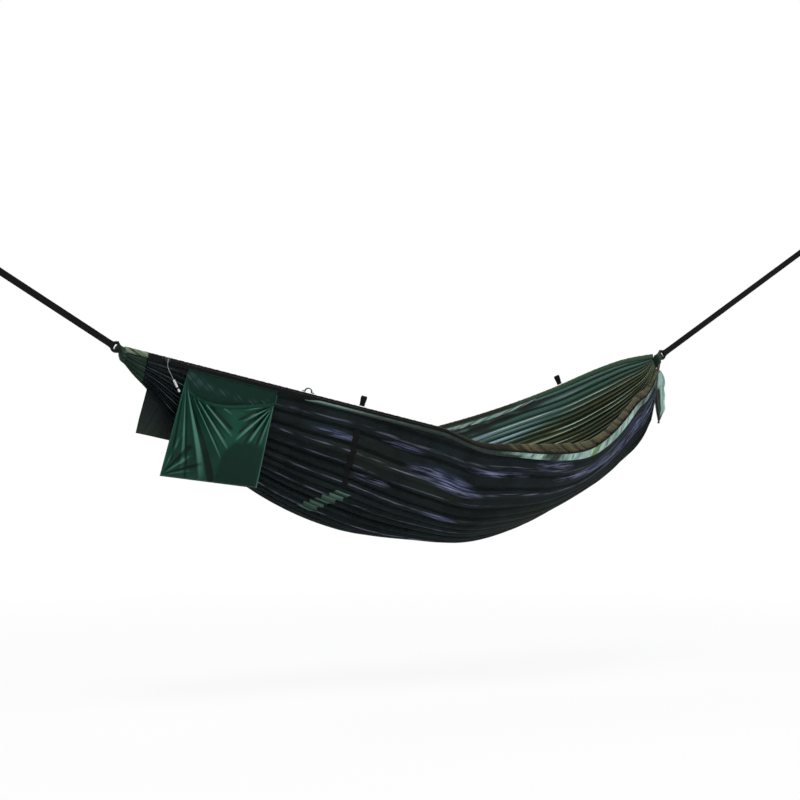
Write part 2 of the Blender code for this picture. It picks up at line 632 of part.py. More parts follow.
def build_strap(name, hang, turn, length, materials):
    """A suspension strap: an eye round the channel cord, a stitched lap, the run, and a sewn end loop."""
    pivot = add_pivot(name + "_pivot", (hang, 0.0, 0.0))
    ply = WEBBING_THICKNESS
    eye_tip = EYE_START + ply + EYE_LENGTH
    loop_end = length - ply
    loop_tip = loop_end - END_LOOP_LENGTH
    stages = [(eye_tip + STITCH_LENGTH, ply), (eye_tip + STITCH_LENGTH + PLY_STEP, ply / 2),
              (loop_tip - STITCH_LENGTH - PLY_STEP, ply / 2), (loop_tip - STITCH_LENGTH, ply)]
    loops = [(eye_tip, EYE_START + ply, EYE_HALF_GAP), (loop_tip, loop_end, END_LOOP_HALF_GAP)]
    run = np.array((-turn * np.cos(HANG_ANGLE), 0.0, np.sin(HANG_ANGLE)))
    side = np.array((0.0, 1.0, 0.0))
    axes = (run, side, np.cross(run, side))
    drawing = webbing(stages, loops, ply)
    mesh = make_mesh(name, *prism(*drawing, np.array((hang, 0.0, 0.0)), axes, WEBBING_WIDTH), sharp_degrees=30.0)
    add_object(name, mesh, materials["webbing"], pivot)


def tab_mesh(name, base, axes, height, width, ply, half_gap, stub):
    """A folded webbing tab that stands on its stitched stub."""
    stages = [(ply * place, ply * half) for place, half in reversed(TAB_BASE_SHARES)]
    points, cells = webbing(stages, [(stub, height - ply, half_gap)], ply)
    return make_mesh(name, *prism(points, cells, base, axes, width), sharp_degrees=30.0)


def build_tabs(materials):
    """The tab and the arched loop on the near rim, and the tab on the far rim."""
    run, down, out = tape_axes()
    fall, _ = rim_axes(NEAR)
    lift = HEM_HEIGHT / 2 * (fall @ down) + GAP + TAB_PLY
    base = tape_point(NEAR_TAB_PLACE, -lift, -tape_face())
    pivot = add_pivot("near_tab_pivot", base)
    sizes = (TAB_WIDTH, TAB_PLY, TAB_HALF_GAP, TAB_STUB)
    mesh = tab_mesh("near_tab", base, (-down, out, run), TAB_HEIGHT, *sizes)
    add_object("near_tab", mesh, materials["webbing"], pivot)
    stations = rim(FAR, ALL_SHARES)
    nearby = (FAR_TAB_SHARE - TAB_WIDTH / SPAN / 2, FAR_TAB_SHARE, FAR_TAB_SHARE + TAB_WIDTH / SPAN / 2)
    before, foot, after = np.stack([np.interp(nearby, ALL_SHARES, stations[:, k]) for k in range(3)], -1)
    far_run = (after - before) / np.linalg.norm(after - before)
    far_out = np.cross(far_run, UP)
    far_out /= np.linalg.norm(far_out)
    far_up = np.cross(far_out, far_run)
    fall, _ = rim_axes(FAR)
    lift = HEM_HEIGHT / 2 * -(fall @ far_up) + GAP + TAB_PLY
    base = foot + far_up * lift
    pivot = add_pivot("far_tab_pivot", base)
    mesh = tab_mesh("far_tab", base, (far_up, far_out, far_run), TAB_HEIGHT, *sizes)
    add_object("far_tab", mesh, materials["webbing"], pivot)
    build_arch(materials)


def build_arch(materials):
    """The arched loop: webbing sewn flat at both ends, with its middle standing up."""
    run, down, out = tape_axes()
    angles = np.linspace(0, np.pi, ARCH_STEPS + 1)
    reach = ARCH_LENGTH / 2 - ARCH_FOOT
    rise = ARCH_HEIGHT * np.sin(angles) ** ARCH_POWER
    lower = [(-ARCH_LENGTH / 2, 0.0), *zip(-reach * np.cos(angles), rise), (ARCH_LENGTH / 2, 0.0)]
    upper = [(-ARCH_LENGTH / 2, TAB_PLY), *zip(-(reach + TAB_PLY) * np.cos(angles), TAB_PLY + rise),
             (ARCH_LENGTH / 2, TAB_PLY)]
    count = len(lower)
    cells = [[k, k + 1, count + k + 1, count + k] for k in range(count - 1)]
    base = tape_point(ARCH_PLACE, -HEM_HEIGHT / 2 - GAP, -tape_face())
    corners, faces = prism(lower + upper, cells, base, (run, -down, out), ARCH_WIDTH)
    add_object("near_arch_loop", make_mesh("near_arch_loop", corners, faces, sharp_degrees=30.0), materials["webbing"])


def build_zip(materials):
    """The coil, its end stop, the slider with its bail, and the pull that hangs on the bail."""
    run, down, out = tape_axes()
    half = COIL_HEIGHT / 2
    profile = ((COIL_DOWN - half, GAP), (COIL_DOWN + half, GAP), (COIL_DOWN + half, GAP + COIL_THICKNESS),
               (COIL_DOWN - half, GAP + COIL_THICKNESS))
    rings = np.array([[tape_point(place, w, n) for w, n in profile] for place in (COIL_START, COIL_END)])
    add_object("near_zip_coil", make_mesh("near_zip_coil", *lofted(rings), smooth=False), materials["coil"])
    half = STOP_HEIGHT / 2
    top = GAP + COIL_THICKNESS * 2
    profile = ((COIL_DOWN - half, GAP), (COIL_DOWN + half, GAP), (COIL_DOWN + half, top), (COIL_DOWN - half, top))
    places = (COIL_START - GAP - STOP_LENGTH, COIL_START - GAP)
    rings = np.array([[tape_point(place, w, n) for w, n in profile] for place in places])
    add_object("zip_end_stop", make_mesh("zip_end_stop", *lofted(rings), smooth=False), materials["metal"])
    pivot = add_pivot("zip_slider_pivot", tape_point(SLIDER_PLACE, COIL_DOWN, GAP))
    build_slider(materials, pivot)
    build_pull(materials, pivot)


def build_slider(materials, pivot):
    """The slider: a plate with two skirts that straddle the coil, narrowing to its nose, and a wire bail."""
    half = SLIDER_HEIGHT / 2
    channel = COIL_HEIGHT / 2 + SLIDER_CLEARANCE
    low = SLIDER_CLEARANCE
    roof = GAP + COIL_THICKNESS + SLIDER_CLEARANCE
    top = SLIDER_CLEARANCE + SLIDER_THICKNESS
    nose_share = 1 - SLIDER_NOSE / SLIDER_HEIGHT
    rings = []
    for place, spread in ((-0.5, nose_share), (-0.5 + SLIDER_NOSE / SLIDER_LENGTH, 1.0), (0.5, 1.0)):
        wide = half * spread
        profile = ((wide, low), (wide, top - SLIDER_CHAMFER), (wide - SLIDER_CHAMFER, top),
                   (SLIDER_CHAMFER - wide, top), (-wide, top - SLIDER_CHAMFER), (-wide, low), (-channel, low),
                   (-channel, roof), (channel, roof), (channel, low))
        at = SLIDER_PLACE + place * SLIDER_LENGTH
        rings.append([tape_point(at, COIL_DOWN + w, n) for w, n in profile])
    mesh = make_mesh("zip_slider", *lofted(np.array(rings)), sharp_degrees=30.0)
    add_object("zip_slider", mesh, materials["metal"], pivot)
    foot = top + GAP
    heights = (foot, BAIL_REACH - BAIL_SHOULDER, BAIL_REACH, BAIL_REACH, BAIL_REACH - BAIL_SHOULDER, foot)
    spans = (-BAIL_HALF_SPAN, -BAIL_HALF_SPAN, BAIL_SHOULDER - BAIL_HALF_SPAN)
    places = (*spans, *[-span for span in reversed(spans)])
    route = [tape_point(SLIDER_PLACE + place, COIL_DOWN, height) for place, height in zip(places, heights)]
    tube("slider_bail", route, BAIL_RADIUS, materials["metal"], pivot)


def smooth_route(route, count):
    """Points at even steps on one smooth curve through a route's own points."""
    route = np.array(route, float)
    places = np.linspace(0, len(route) - 1, count)
    knots = np.arange(len(route))
    columns = [along(list(zip(knots, route[:, k])), places) for k in range(route.shape[1])]
    return np.stack(columns, -1)


def ring_of_cord(centre, axes, radius, cord_radius, steps, sides):
    """Points and faces of a closed ring of cord in the plane of the first two axes."""
    first, second, third = axes
    turn = np.linspace(0, 2 * np.pi, steps, endpoint=False)[:, None]
    roll = np.linspace(0, 2 * np.pi, sides, endpoint=False)[None, :]
    spread = radius + cord_radius * np.cos(roll)
    points = centre + (spread * np.cos(turn))[..., None] * first + (spread * np.sin(turn))[..., None] * second
    points = points + (cord_radius * np.sin(roll) * np.ones_like(turn))[..., None] * third
    index = np.arange(steps * sides).reshape(steps, sides)
    right, ahead = np.roll(index, -1, axis=1), np.roll(index, -1, axis=0)
    corner = np.roll(right, -1, axis=0)
    return points.reshape(-1, 3), np.stack([index, right, corner, ahead], -1).reshape(-1, 4).tolist()


def build_pull(materials, slider_pivot):
    """The pull: a small knotted loop round the bail, a cord and a ribbed toggle."""
    run, _, _ = tape_axes()
    axis = tape_point(SLIDER_PLACE, COIL_DOWN, BAIL_REACH)
    pivot = add_pivot("zip_pull_pivot", axis)
    pivot.parent = slider_pivot
    pivot.matrix_parent_inverse = slider_pivot.matrix_world.inverted()
    bpy.context.view_layer.update()
    level = run - (run @ UP) * UP
    level /= np.linalg.norm(level)
    hang = -UP - (-UP @ run) * run
    hang /= np.linalg.norm(hang)
    drop = PULL_LOOP_RADIUS - PULL_CORD_RADIUS - BAIL_RADIUS - PULL_CLEARANCE
    centre = axis + hang * drop
    axes = (hang, np.cross(run, hang), run)
    corners, faces = ring_of_cord(centre, axes, PULL_LOOP_RADIUS, PULL_CORD_RADIUS, GATHER_SIDES, POCKET_HEM_SIDES)
    loop = add_object("pull_loop", make_mesh("pull_loop", corners, faces), materials["cord"], pivot)
    knot_place = centre + hang * (PULL_LOOP_RADIUS + KNOT_RADIUS)
    form = bmesh.new()
    bmesh.ops.create_uvsphere(form, u_segments=TOGGLE_SIDES, v_segments=POCKET_HEM_SIDES, radius=KNOT_RADIUS)
    bmesh.ops.translate(form, vec=tuple(knot_place), verts=form.verts)
    knot_mesh = bpy.data.meshes.new("knot_shape")
    form.to_mesh(knot_mesh)
    form.free()
    knot = add_object("knot_shape", knot_mesh, materials["cord"], pivot)
    knot.hide_render = True
    knot.display_type = "WIRE"
    join = loop.modifiers.new("knot", "BOOLEAN")
    join.operation = "UNION"
    join.solver = "EXACT"
    join.object = knot
    start = knot_place - UP * (KNOT_RADIUS + GAP)
    route = [start + PULL_DROP * (level * aside - UP * fall) for aside, fall in PULL_ROUTE_SHARES]
    route = smooth_route(route, PULL_STEPS)
    tube("pull_cord", route, PULL_CORD_RADIUS, materials["cord"], pivot)
    heading = route[-1] - route[-2]
    heading /= np.linalg.norm(heading)
    build_toggle(materials, pivot, route[-1] + heading * GAP, heading)


def build_toggle(materials, pivot, top, heading):
    """The toggle: a turned, ribbed grip on the end of the cord."""
    side = np.cross(heading, (0.0, 1.0, 0.0))
    side /= np.linalg.norm(side)
    other = np.cross(heading, side)
    angles = np.linspace(0, 2 * np.pi, TOGGLE_SIDES, endpoint=False)[:, None]
    circle = np.cos(angles) * side + np.sin(angles) * other
    rings = [top + heading * TOGGLE_LENGTH * place + circle * TOGGLE_RADIUS * wide
             for place, wide in zip(TOGGLE_PLACE_SHARES[1:-1], TOGGLE_RADIUS_SHARES[1:-1])]
    mesh = make_mesh("pull_toggle", *lofted(np.array(rings)), sharp_degrees=50.0)
    add_object("pull_toggle", mesh, materials["cord"], pivot)


def pocket_frame():
    """Where the pocket's top hem lies: how far down the tape, and how far out from it."""
    _, down, _ = tape_axes()
    fall, _ = rim_axes(NEAR)
    tape_foot = TAPE_HEIGHT * TAPE_FOOT_SHARES[0][1] * (fall @ down)
    return tape_foot - POCKET_LAP + POCKET_HEM_RADIUS, GAP + POCKET_HEM_RADIUS


def mouth_line(across):
    """How far below the top hem the front's mouth edge runs."""
    return MOUTH_DROP * along(MOUTH_DROP_SHARES, across)


def front_out(across, below):
    """How far the pocket's front stands off its flat place.

    across runs from 0 at the left edge to 1 at the right, and below from 0 at the mouth to 1 at the foot.
    The front gapes at the mouth and bags out lower down, and folds run out from both upper corners.
    """
    sink, sharpness = POCKET_BAG_POWERS
    beside, above = POCKET_FAN_SHARES
    left_folds, right_folds = POCKET_FAN_FOLDS
    arch = np.sin(np.pi * across) ** POCKET_ARCH_POWER
    gape = MOUTH_GAPE * (1 - below) ** POCKET_GAPE_POWER
    bag = POCKET_BULGE * np.sin(np.pi * below**sink) ** sharpness
    left_fan = 1 + np.sin(left_folds * np.arctan2(below + above, across + beside))
    right_fan = 1 + np.sin(right_folds * np.arctan2(below + above, 1 + beside - across))
    reach = np.sin(np.pi * below) ** POCKET_REACH_POWER
    fold = POCKET_FOLD / 2 * reach * ((1 - across) * left_fan + across * right_fan)
    return arch * (gape + bag + fold)


def build_pocket(materials):
    """The pocket: top hem on the hinge line, back, gaping front with folds, mouth hem and corner loop."""
    run, down, out = tape_axes()
    top, away = pocket_frame()
    left, right = POCKET_PLACE, POCKET_PLACE + POCKET_WIDTH
    pivot = add_pivot("pocket_pivot", tape_point((left + right) / 2, top, away))
    angles = np.linspace(0, 2 * np.pi, POCKET_HEM_SIDES, endpoint=False) + np.pi / POCKET_HEM_SIDES
    rings = [[tape_point(place, top + POCKET_HEM_RADIUS * np.cos(a), away + POCKET_HEM_RADIUS * np.sin(a))
              for a in angles] for place in (left, right)]
    add_object("pocket_top_hem", make_mesh("pocket_top_hem", *lofted(np.array(rings))), materials["pocket"], pivot)
    back_top = top + POCKET_HEM_RADIUS + GAP
    half = POCKET_BACK_THICKNESS / 2
    straight = CORNER_LOOP_START + CORNER_LOOP_LENGTH
    corners = ((left, back_top), (right, back_top), (right, top + straight),
               (right + POCKET_FLARE, top + POCKET_RIGHT_HEIGHT), (left, top + POCKET_LEFT_HEIGHT))
    rings = [[tape_point(place, low, away + level) for place, low in corners] for level in (-half, half)]
    add_object("pocket_back", make_mesh("pocket_back", *lofted(np.array(rings)), smooth=False),
               materials["pocket"], pivot)
    seat = away + half + GAP + POCKET_FRONT_THICKNESS / 2
    across = np.linspace(0, 1, POCKET_ACROSS + 1)[:, None]
    below = np.linspace(0, 1, POCKET_DOWN + 1)[None, :]
    foot = POCKET_LEFT_HEIGHT + (POCKET_RIGHT_HEIGHT - POCKET_LEFT_HEIGHT) * across
    mouth = mouth_line(across)
    fall = mouth + (foot - mouth) * below
    flare = POCKET_FLARE * np.clip((fall - straight) / (foot - straight), 0, 1)
    place = left + (POCKET_WIDTH + flare) * across
    low = top + fall
    level = seat + front_out(across, below)
    points = tape_point(place, low, level)
    outward = np.broadcast_to(out, points.shape)
    mesh = make_mesh("pocket_front", *thick_sheet(points, outward, POCKET_FRONT_THICKNESS), sharp_degrees=60.0)
    add_object("pocket_front", mesh, materials["pocket"], pivot)
    rim_low = top + mouth[:, 0] - MOUTH_HEM_WIDTH - GAP
    centre = seat + front_out(across, 0 * across)[:, 0] + (MOUTH_HEM_THICKNESS - POCKET_FRONT_THICKNESS) / 2
    profile = ((0.0, -0.5), (0.0, 0.5), (1.0, 0.5), (1.0, -0.5))
    mouth_place = left + POCKET_WIDTH * across[:, 0]
    rings = np.stack([tape_point(mouth_place, rim_low + MOUTH_HEM_WIDTH * w, centre + MOUTH_HEM_THICKNESS * n)
                      for w, n in profile], 1)
    mesh = make_mesh("pocket_mouth_hem", *lofted(rings), sharp_degrees=50.0)
    add_object("pocket_mouth_hem", mesh, materials["pocket"], pivot)
    base = tape_point(right + GAP + TAB_PLY, top + CORNER_LOOP_START, away)
    mesh = tab_mesh("pocket_corner_loop", base, (down, run, out), CORNER_LOOP_LENGTH, CORNER_LOOP_WIDTH, TAB_PLY / 2,
                    TAB_PLY / 2, TAB_STUB)
    add_object("pocket_corner_loop", mesh, materials["pocket"], pivot)


def build_left_flap(materials):
    """The net's loose left corner, hanging from a straight seam under the net."""
    shares = np.array(LEFT_FLAP_TOP_SHARES)
    points, _ = net_grid(MAIN_SHARES)
    lowest = points[..., 2].min(axis=1)
    keel = np.take_along_axis(points[..., 1], points[..., 2].argmin(axis=1)[:, None], 1)[:, 0]
    sides = np.interp(shares, MAIN_SHARES, keel)
    ends = np.interp(shares, MAIN_SHARES, lowest)
    inside = (MAIN_SHARES > shares[0]) & (MAIN_SHARES < shares[1])
    line = ends[0] + (ends[1] - ends[0]) * (MAIN_SHARES[inside] - shares[0]) / (shares[1] - shares[0])
    clear = np.max(line - lowest[inside], initial=0.0) + CLOTH_THICKNESS / 2 + GAP
    ends = ends - clear
    across = np.linspace(0, 1, FLAP_ACROSS + 1)[:, None]
    below = np.linspace(0, 1, FLAP_DOWN + 1)[None, :]
    top_x, top_z = SPAN * (shares[0] + (shares[1] - shares[0]) * across), ends[0] + (ends[1] - ends[0]) * across
    foot_x = LEFT_FLAP_REACH + (SPAN * shares[1] - LEFT_FLAP_REACH) * across
    foot_z = -(LEFT_FLAP_FOOT + (LEFT_FLAP_CORNER - LEFT_FLAP_FOOT) * across)
    x = top_x * (1 - below) + foot_x * below
    z = top_z * (1 - below) + foot_z * below
    top_y = sides[0] + (sides[1] - sides[0]) * across
    y = top_y + LEFT_FLAP_RIPPLE * below * (1 + np.sin(2 * np.pi * (across + below / 2)))
    pivot = add_pivot("left_net_flap_pivot", (SPAN * shares[0], sides[0], ends[0]))
    add_flap("left_net_flap", np.stack([x, y, z], -1), materials["net"], pivot)


def build_right_flap(materials):
    """The cloth tail that hangs from under the right gather."""
    across = np.linspace(0, 1, FLAP_ACROSS + 1)[:, None]
    below = np.linspace(0, 1, FLAP_DOWN + 1)[None, :]
    gather_foot = -GATHER_HEIGHT * (1 - GATHER_LOBE_SHARE) - GATHER_SINK
    start_x = SPAN - CLOTH_START + FLAP_THICKNESS
    top_z = gather_foot - GAP
    left = RIGHT_FLAP_WIDTH * along(RIGHT_FLAP_LEFT_SHARES, below)
    right = RIGHT_FLAP_WIDTH * along(RIGHT_FLAP_RIGHT_SHARES, below)
    x = start_x + left + (right - left) * across
    z = top_z - RIGHT_FLAP_LENGTH * below + 0 * across
    y = RIGHT_FLAP_RIPPLE * below * np.sin(np.pi * (across * 2 + below))
    pivot = add_pivot("right_end_flap_pivot", (start_x, 0.0, top_z))
    add_flap("right_end_flap", np.stack([x, y, z], -1), materials["border"], pivot)


def add_flap(name, points, material, pivot):
    """A thin hanging flap made solid by its thickness along Y."""
    side = np.broadcast_to(np.array((0.0, 1.0, 0.0)), points.shape)
    mesh = make_mesh(name, *thick_sheet(points, side, FLAP_THICKNESS), sharp_degrees=60.0)
    add_object(name, mesh, material, pivot)


def make_materials():
    """The colours and finishes of the cloth, webbing, cord and metal."""
    return {
        "bed": make_material("green_nylon", (0.10, 0.16, 0.10), 0.4),
        "hem": make_material("olive_hem", (0.10, 0.09, 0.04), 0.6),
        "net": make_material("black_mesh", (0.008, 0.010, 0.012), 0.6),
        "panel": make_material("dark_green_nylon", (0.012, 0.035, 0.022), 0.45),
        "tape": make_material("black_tape", (0.006, 0.006, 0.006), 0.6),
        "border": make_material("pale_green_nylon", (0.45, 0.58, 0.52), 0.4),
        "pocket": make_material("forest_green_nylon", (0.01, 0.06, 0.035), 0.4),
        "webbing": make_material("black_webbing", (0.004, 0.004, 0.004), 0.7),
        "coil": make_material("black_coil", (0.01, 0.01, 0.01), 0.5),
        "metal": make_material("grey_metal", (0.3, 0.3, 0.3), 0.35, 1.0),
        "cord": make_material("grey_cord", (0.45, 0.45, 0.45), 0.6),
    }


def main():
    """Build the hammock from its cloth outwards."""
    clear_scene()
    materials = make_materials()
    build_bed(materials)
    build_net(materials)
    build_net_trim(materials)
    build_gathers(materials)
    build_strap("left_suspension_strap", 0.0, 1.0, LEFT_STRAP_LENGTH, materials)
    build_strap("right_suspension_strap", SPAN, -1.0, RIGHT_STRAP_LENGTH, materials)
    build_tabs(materials)
    build_zip(materials)
    build_pocket(materials)
    build_left_flap(materials)
    build_right_flap(materials)


main()
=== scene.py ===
"""Looks of a gathered-end camping hammock, hung by webbing, with its mosquito net turned under the bed.

Metres, +Z up. The origin is the left hang point, +X runs to the right one, and -Y is the near side. A table
of shares holds rows of a place along the span, as a share of it, and a value as a share of a named size. A
table of spots holds rows of a share along, a share across, a reach along and across, and a strength.
"""

import logging
from collections.abc import Sequence
from dataclasses import dataclass
from enum import Enum
from typing import Any

import bmesh
import bpy
import numpy as np
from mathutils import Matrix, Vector


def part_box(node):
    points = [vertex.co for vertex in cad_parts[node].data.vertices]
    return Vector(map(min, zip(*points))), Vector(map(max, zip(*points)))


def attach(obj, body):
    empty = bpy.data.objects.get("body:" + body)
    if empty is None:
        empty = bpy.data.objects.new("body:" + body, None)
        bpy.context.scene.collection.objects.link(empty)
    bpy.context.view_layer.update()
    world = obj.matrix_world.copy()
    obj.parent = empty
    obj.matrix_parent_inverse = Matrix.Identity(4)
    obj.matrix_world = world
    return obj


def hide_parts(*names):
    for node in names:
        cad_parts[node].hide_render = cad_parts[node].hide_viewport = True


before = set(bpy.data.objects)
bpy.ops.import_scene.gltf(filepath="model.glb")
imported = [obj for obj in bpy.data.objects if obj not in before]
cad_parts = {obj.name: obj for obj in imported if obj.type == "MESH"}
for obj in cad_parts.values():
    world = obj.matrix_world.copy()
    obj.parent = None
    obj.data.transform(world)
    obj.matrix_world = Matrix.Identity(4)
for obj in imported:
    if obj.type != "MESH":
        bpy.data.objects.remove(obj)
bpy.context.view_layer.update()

log = logging.getLogger("hammock")

MM = 0.001
UP = np.array((0.0, 0.0, 1.0))
ALONG_Y = np.array((0.0, 1.0, 0.0))
STRIP_PLY = 0.0008
THIN_PLY = 0.0006

Array = np.ndarray
Rows = Sequence[tuple[float, ...]]
Thing = bpy.types.Object
Material = bpy.types.Material
Tree = bpy.types.NodeTree
Node = bpy.types.Node
Socket = bpy.types.NodeSocket


class Side(Enum):
    """The two long sides, with the sign of Y on each."""

    NEAR = -1.0
    FAR = 1.0


class Hang(Enum):
    """The two ends, with the direction from the hang point into the cloth."""

    LEFT = 1.0
    RIGHT = -1.0


class Mark(Enum):
    """What a sheet's own marks tell its finish, with the place of each in the marks."""

    # Painted shade in a groove at 0, painted highlight on a crest at 1.
    CREST = 0
    TONE = 1
    # Painted sheen on the bed, the net and the pocket's back; a patch of own colour on the hems and border.
    BLOOM = 2


def linear(code: str) -> tuple[float, ...]:
    """Turn an sRGB hex colour into a linear one.

    Args:
        code: the colour as six hex digits.

    Returns:
        Red, green, blue and an alpha of one.
    """
    parts = np.array([int(code[k:k + 2], 16) for k in (0, 2, 4)]) / 255
    return (*np.where(parts <= 0.04045, parts / 12.92, ((parts + 0.055) / 1.055) ** 2.4).tolist(), 1.0)


def add_node(tree: Tree, kind: str | Node, inputs: dict[Any, Any] | None = None, **settings: Any) -> Node:
    """Add a node to a tree, or fill one that it has.

    Args:
        tree: the material's or the world's nodes.
        kind: the node, or a new one's type without the words that all shader nodes start with.
        inputs: sockets by name or number, each with a value, or with a socket or node to link from. A node
            gives its first output in use.
        settings: properties to set on it first.

    Returns:
        The node.
    """
    node = kind if isinstance(kind, Node) else tree.nodes.new(f"ShaderNode{kind}")
    for name, value in settings.items():
        setattr(node, name, value)
    for name, value in (inputs or {}).items():
        if isinstance(value, Node):
            value = next(socket for socket in value.outputs if socket.enabled)
        if isinstance(value, Socket):
            tree.links.new(value, node.inputs[name])
        else:
            node.inputs[name].default_value = value
    return node


def new_material(name: str) -> tuple[Material, Tree, Node]:
    """Make a material.

    Args:
        name: its name.

    Returns:
        The material, its nodes and its main shader.
    """
    material = bpy.data.materials.new(name)
    material.use_nodes = True
    return material, material.node_tree, material.node_tree.nodes["Principled BSDF"]


@dataclass(frozen=True)
class Layer:
    """A colour laid over cloth where one of its marks passes from one value to another.

    A streak, of a length and a width in millimetres, breaks the layer up along the cloth.
    """

    mark: Mark
    colour: str
    start: float
    full: float
    strength: float = 1.0
    streak_mm: tuple[float, float] = (0.0, 0.0)


@dataclass(frozen=True)
class ClothFinish:
    """Woven, knitted or coated cloth, whose pattern follows the piece's own UV map in metres.

    Two sets of fine ridges cross as threads do, slow patches vary the shade, and layers follow the folds with
    painted light: a painted highlight on a crest and painted shade in a groove.
    """

    name: str
    colour: str
    shade: str
    thread_mm: float
    thread_depth: float
    roughness: float = 0.55
    sheen: float = 0.2
    sheen_colour: str = "ffffff"
    gloss: float = 0.15
    ripstop_mm: float = 0.0
    patch_mm: float = 120.0
    crease_mm: float = 25.0
    crease_depth: float = 0.3
    alpha: float = 1.0
    layers: tuple[Layer, ...] = ()

    def make(self) -> Material:
        """Build the material.

        Returns:
            The finished material.
        """
        material, tree, shader = new_material(self.name)
        places = add_node(tree, "TexCoord").outputs
        patches = add_node(tree, "TexNoise", {"Vector": places["Object"], "Scale": 1 / (self.patch_mm * MM),
                                              "Detail": 4.0, "Roughness": 0.6})
        spread = add_node(tree, "MapRange", {"Value": patches, "From Min": 0.35, "From Max": 0.68})
        tint = add_node(tree, "Mix", {"Factor": spread, "A": linear(self.colour), "B": linear(self.shade)},
                        data_type="RGBA")
        height = self._grid(tree, places["UV"], self.thread_mm)
        if self.ripstop_mm > 0:
            thin = add_node(tree, "Math", {0: self._grid(tree, places["UV"], self.ripstop_mm), 1: 14.0},
                            operation="POWER")
            height = add_node(tree, "Math", {0: thin, 1: 2.0, 2: height}, operation="MULTIPLY_ADD")
        creases = add_node(tree, "TexNoise", {"Vector": places["Object"], "Scale": 1 / (self.crease_mm * MM),
                                              "Detail": 5.0, "Roughness": 0.55, "Distortion": 0.6})
        creased = add_node(tree, "Bump", {"Height": creases, "Distance": self.crease_mm * MM / 6,
                                          "Strength": self.crease_depth})
        woven = add_node(tree, "Bump", {"Height": height, "Distance": self.thread_mm * MM / 3,
                                        "Strength": self.thread_depth, "Normal": creased})
        add_node(tree, shader, {"Base Color": self._layered(tree, places["UV"], tint), "Normal": woven,
                                "Roughness": self.roughness, "Sheen Weight": self.sheen,
                                "Sheen Tint": linear(self.sheen_colour), "Sheen Roughness": 0.4,
                                "Specular IOR Level": self.gloss, "Alpha": self.alpha})
        return material

    def _grid(self, tree: Tree, place: Socket, pitch_mm: float) -> Node:
        """Two crossing sets of ridges, the higher of the two at each place.

        Args:
            tree: the material's nodes.
            place: where the pattern is read.
            pitch_mm: from ridge to ridge.

        Returns:
            The node whose output is the height.
        """
        lines = (add_node(tree, "TexWave", {"Vector": place, "Scale": 2 * np.pi / (20 * pitch_mm * MM)},
                          bands_direction=way).outputs["Fac"] for way in ("X", "Y"))
        return add_node(tree, "Math", dict(enumerate(lines)), operation="MAXIMUM")

    def _layered(self, tree: Tree, place: Socket, colour: Node) -> Node:
        """Lay the layers over the colour, in order.

        Args:
            tree: the material's nodes.
            place: where a streak is read.
            colour: the node that gives the plain cloth's colour.

        Returns:
            The node that gives the colour with every layer on it.
        """
        if not self.layers:
            return colour
        marks = add_node(tree, "Attribute", attribute_name="marks").outputs["Vector"]
        split = add_node(tree, "SeparateXYZ", {"Vector": marks})
        for layer in self.layers:
            share = add_node(tree, "MapRange", {
                "Value": split.outputs[layer.mark.value], "From Min": layer.start, "From Max": layer.full,
                "To Max": layer.strength})
            if layer.streak_mm[0] > 0:
                scale = (*(1 / (size * MM) for size in layer.streak_mm), 1.0)
                drawn = add_node(tree, "VectorMath", {0: place, 1: scale}, operation="MULTIPLY")
                noise = add_node(tree, "TexNoise", {"Vector": drawn, "Scale": 1.0, "Detail": 3.0})
                broken = add_node(tree, "MapRange", {"Value": noise, "From Min": 0.46, "From Max": 0.62})
                share = add_node(tree, "Math", {0: share, 1: broken}, operation="MULTIPLY")
            colour = add_node(tree, "Mix", {"Factor": share, "A": colour, "B": linear(layer.colour)},
                              data_type="RGBA")
        return colour


@dataclass(frozen=True)
class HardFinish:
    """Metal or moulded plastic with a fine grain."""

    name: str
    colour: str
    roughness: float
    metallic: float = 0.0
    grain_mm: float = 0.6
    grain_depth: float = 0.1

    def make(self) -> Material:
        """Build the material.

        Returns:
            The finished material.
        """
        material, tree, shader = new_material(self.name)
        place = add_node(tree, "TexCoord").outputs["Object"]
        grain = add_node(tree, "TexNoise", {"Vector": place, "Scale": 1 / (self.grain_mm * MM), "Detail": 3})
        wear = add_node(tree, "MapRange", {"Value": grain, "From Min": 0.3, "From Max": 0.7,
                                           "To Min": self.roughness * 0.8, "To Max": self.roughness * 1.2})
        bump = add_node(tree, "Bump", {"Height": grain, "Distance": self.grain_mm * MM / 4,
                                       "Strength": self.grain_depth})
        add_node(tree, shader, {"Base Color": linear(self.colour), "Metallic": self.metallic,
                                "Roughness": wear, "Normal": bump})
        return material


# Ripstop nylon, woven and lightly coated: olive, with the far half painted teal as light where it turns to
# the sky, a painted grey-blue sheen on the teal, painted highlights on its crests, painted near-black shade
# in its grooves, and a square grid seen close up.
BED_NYLON = ClothFinish(
    "ripstop_nylon_olive", "373d23", "282f1a", thread_mm=1.2, thread_depth=0.15, roughness=0.4, sheen=0.1,
    sheen_colour="cfe8e0", ripstop_mm=9.0, crease_mm=45, crease_depth=0.25, gloss=0.1,
    layers=(Layer(Mark.TONE, "2c4d43", 0.0, 1.0), Layer(Mark.BLOOM, "8aa5b0", 0.1, 0.95, 0.95),
            Layer(Mark.CREST, "050a06", 0.5, 0.2, 0.95),
            Layer(Mark.CREST, "b4cdbb", 0.72, 0.96, 0.75, (520, 7))))
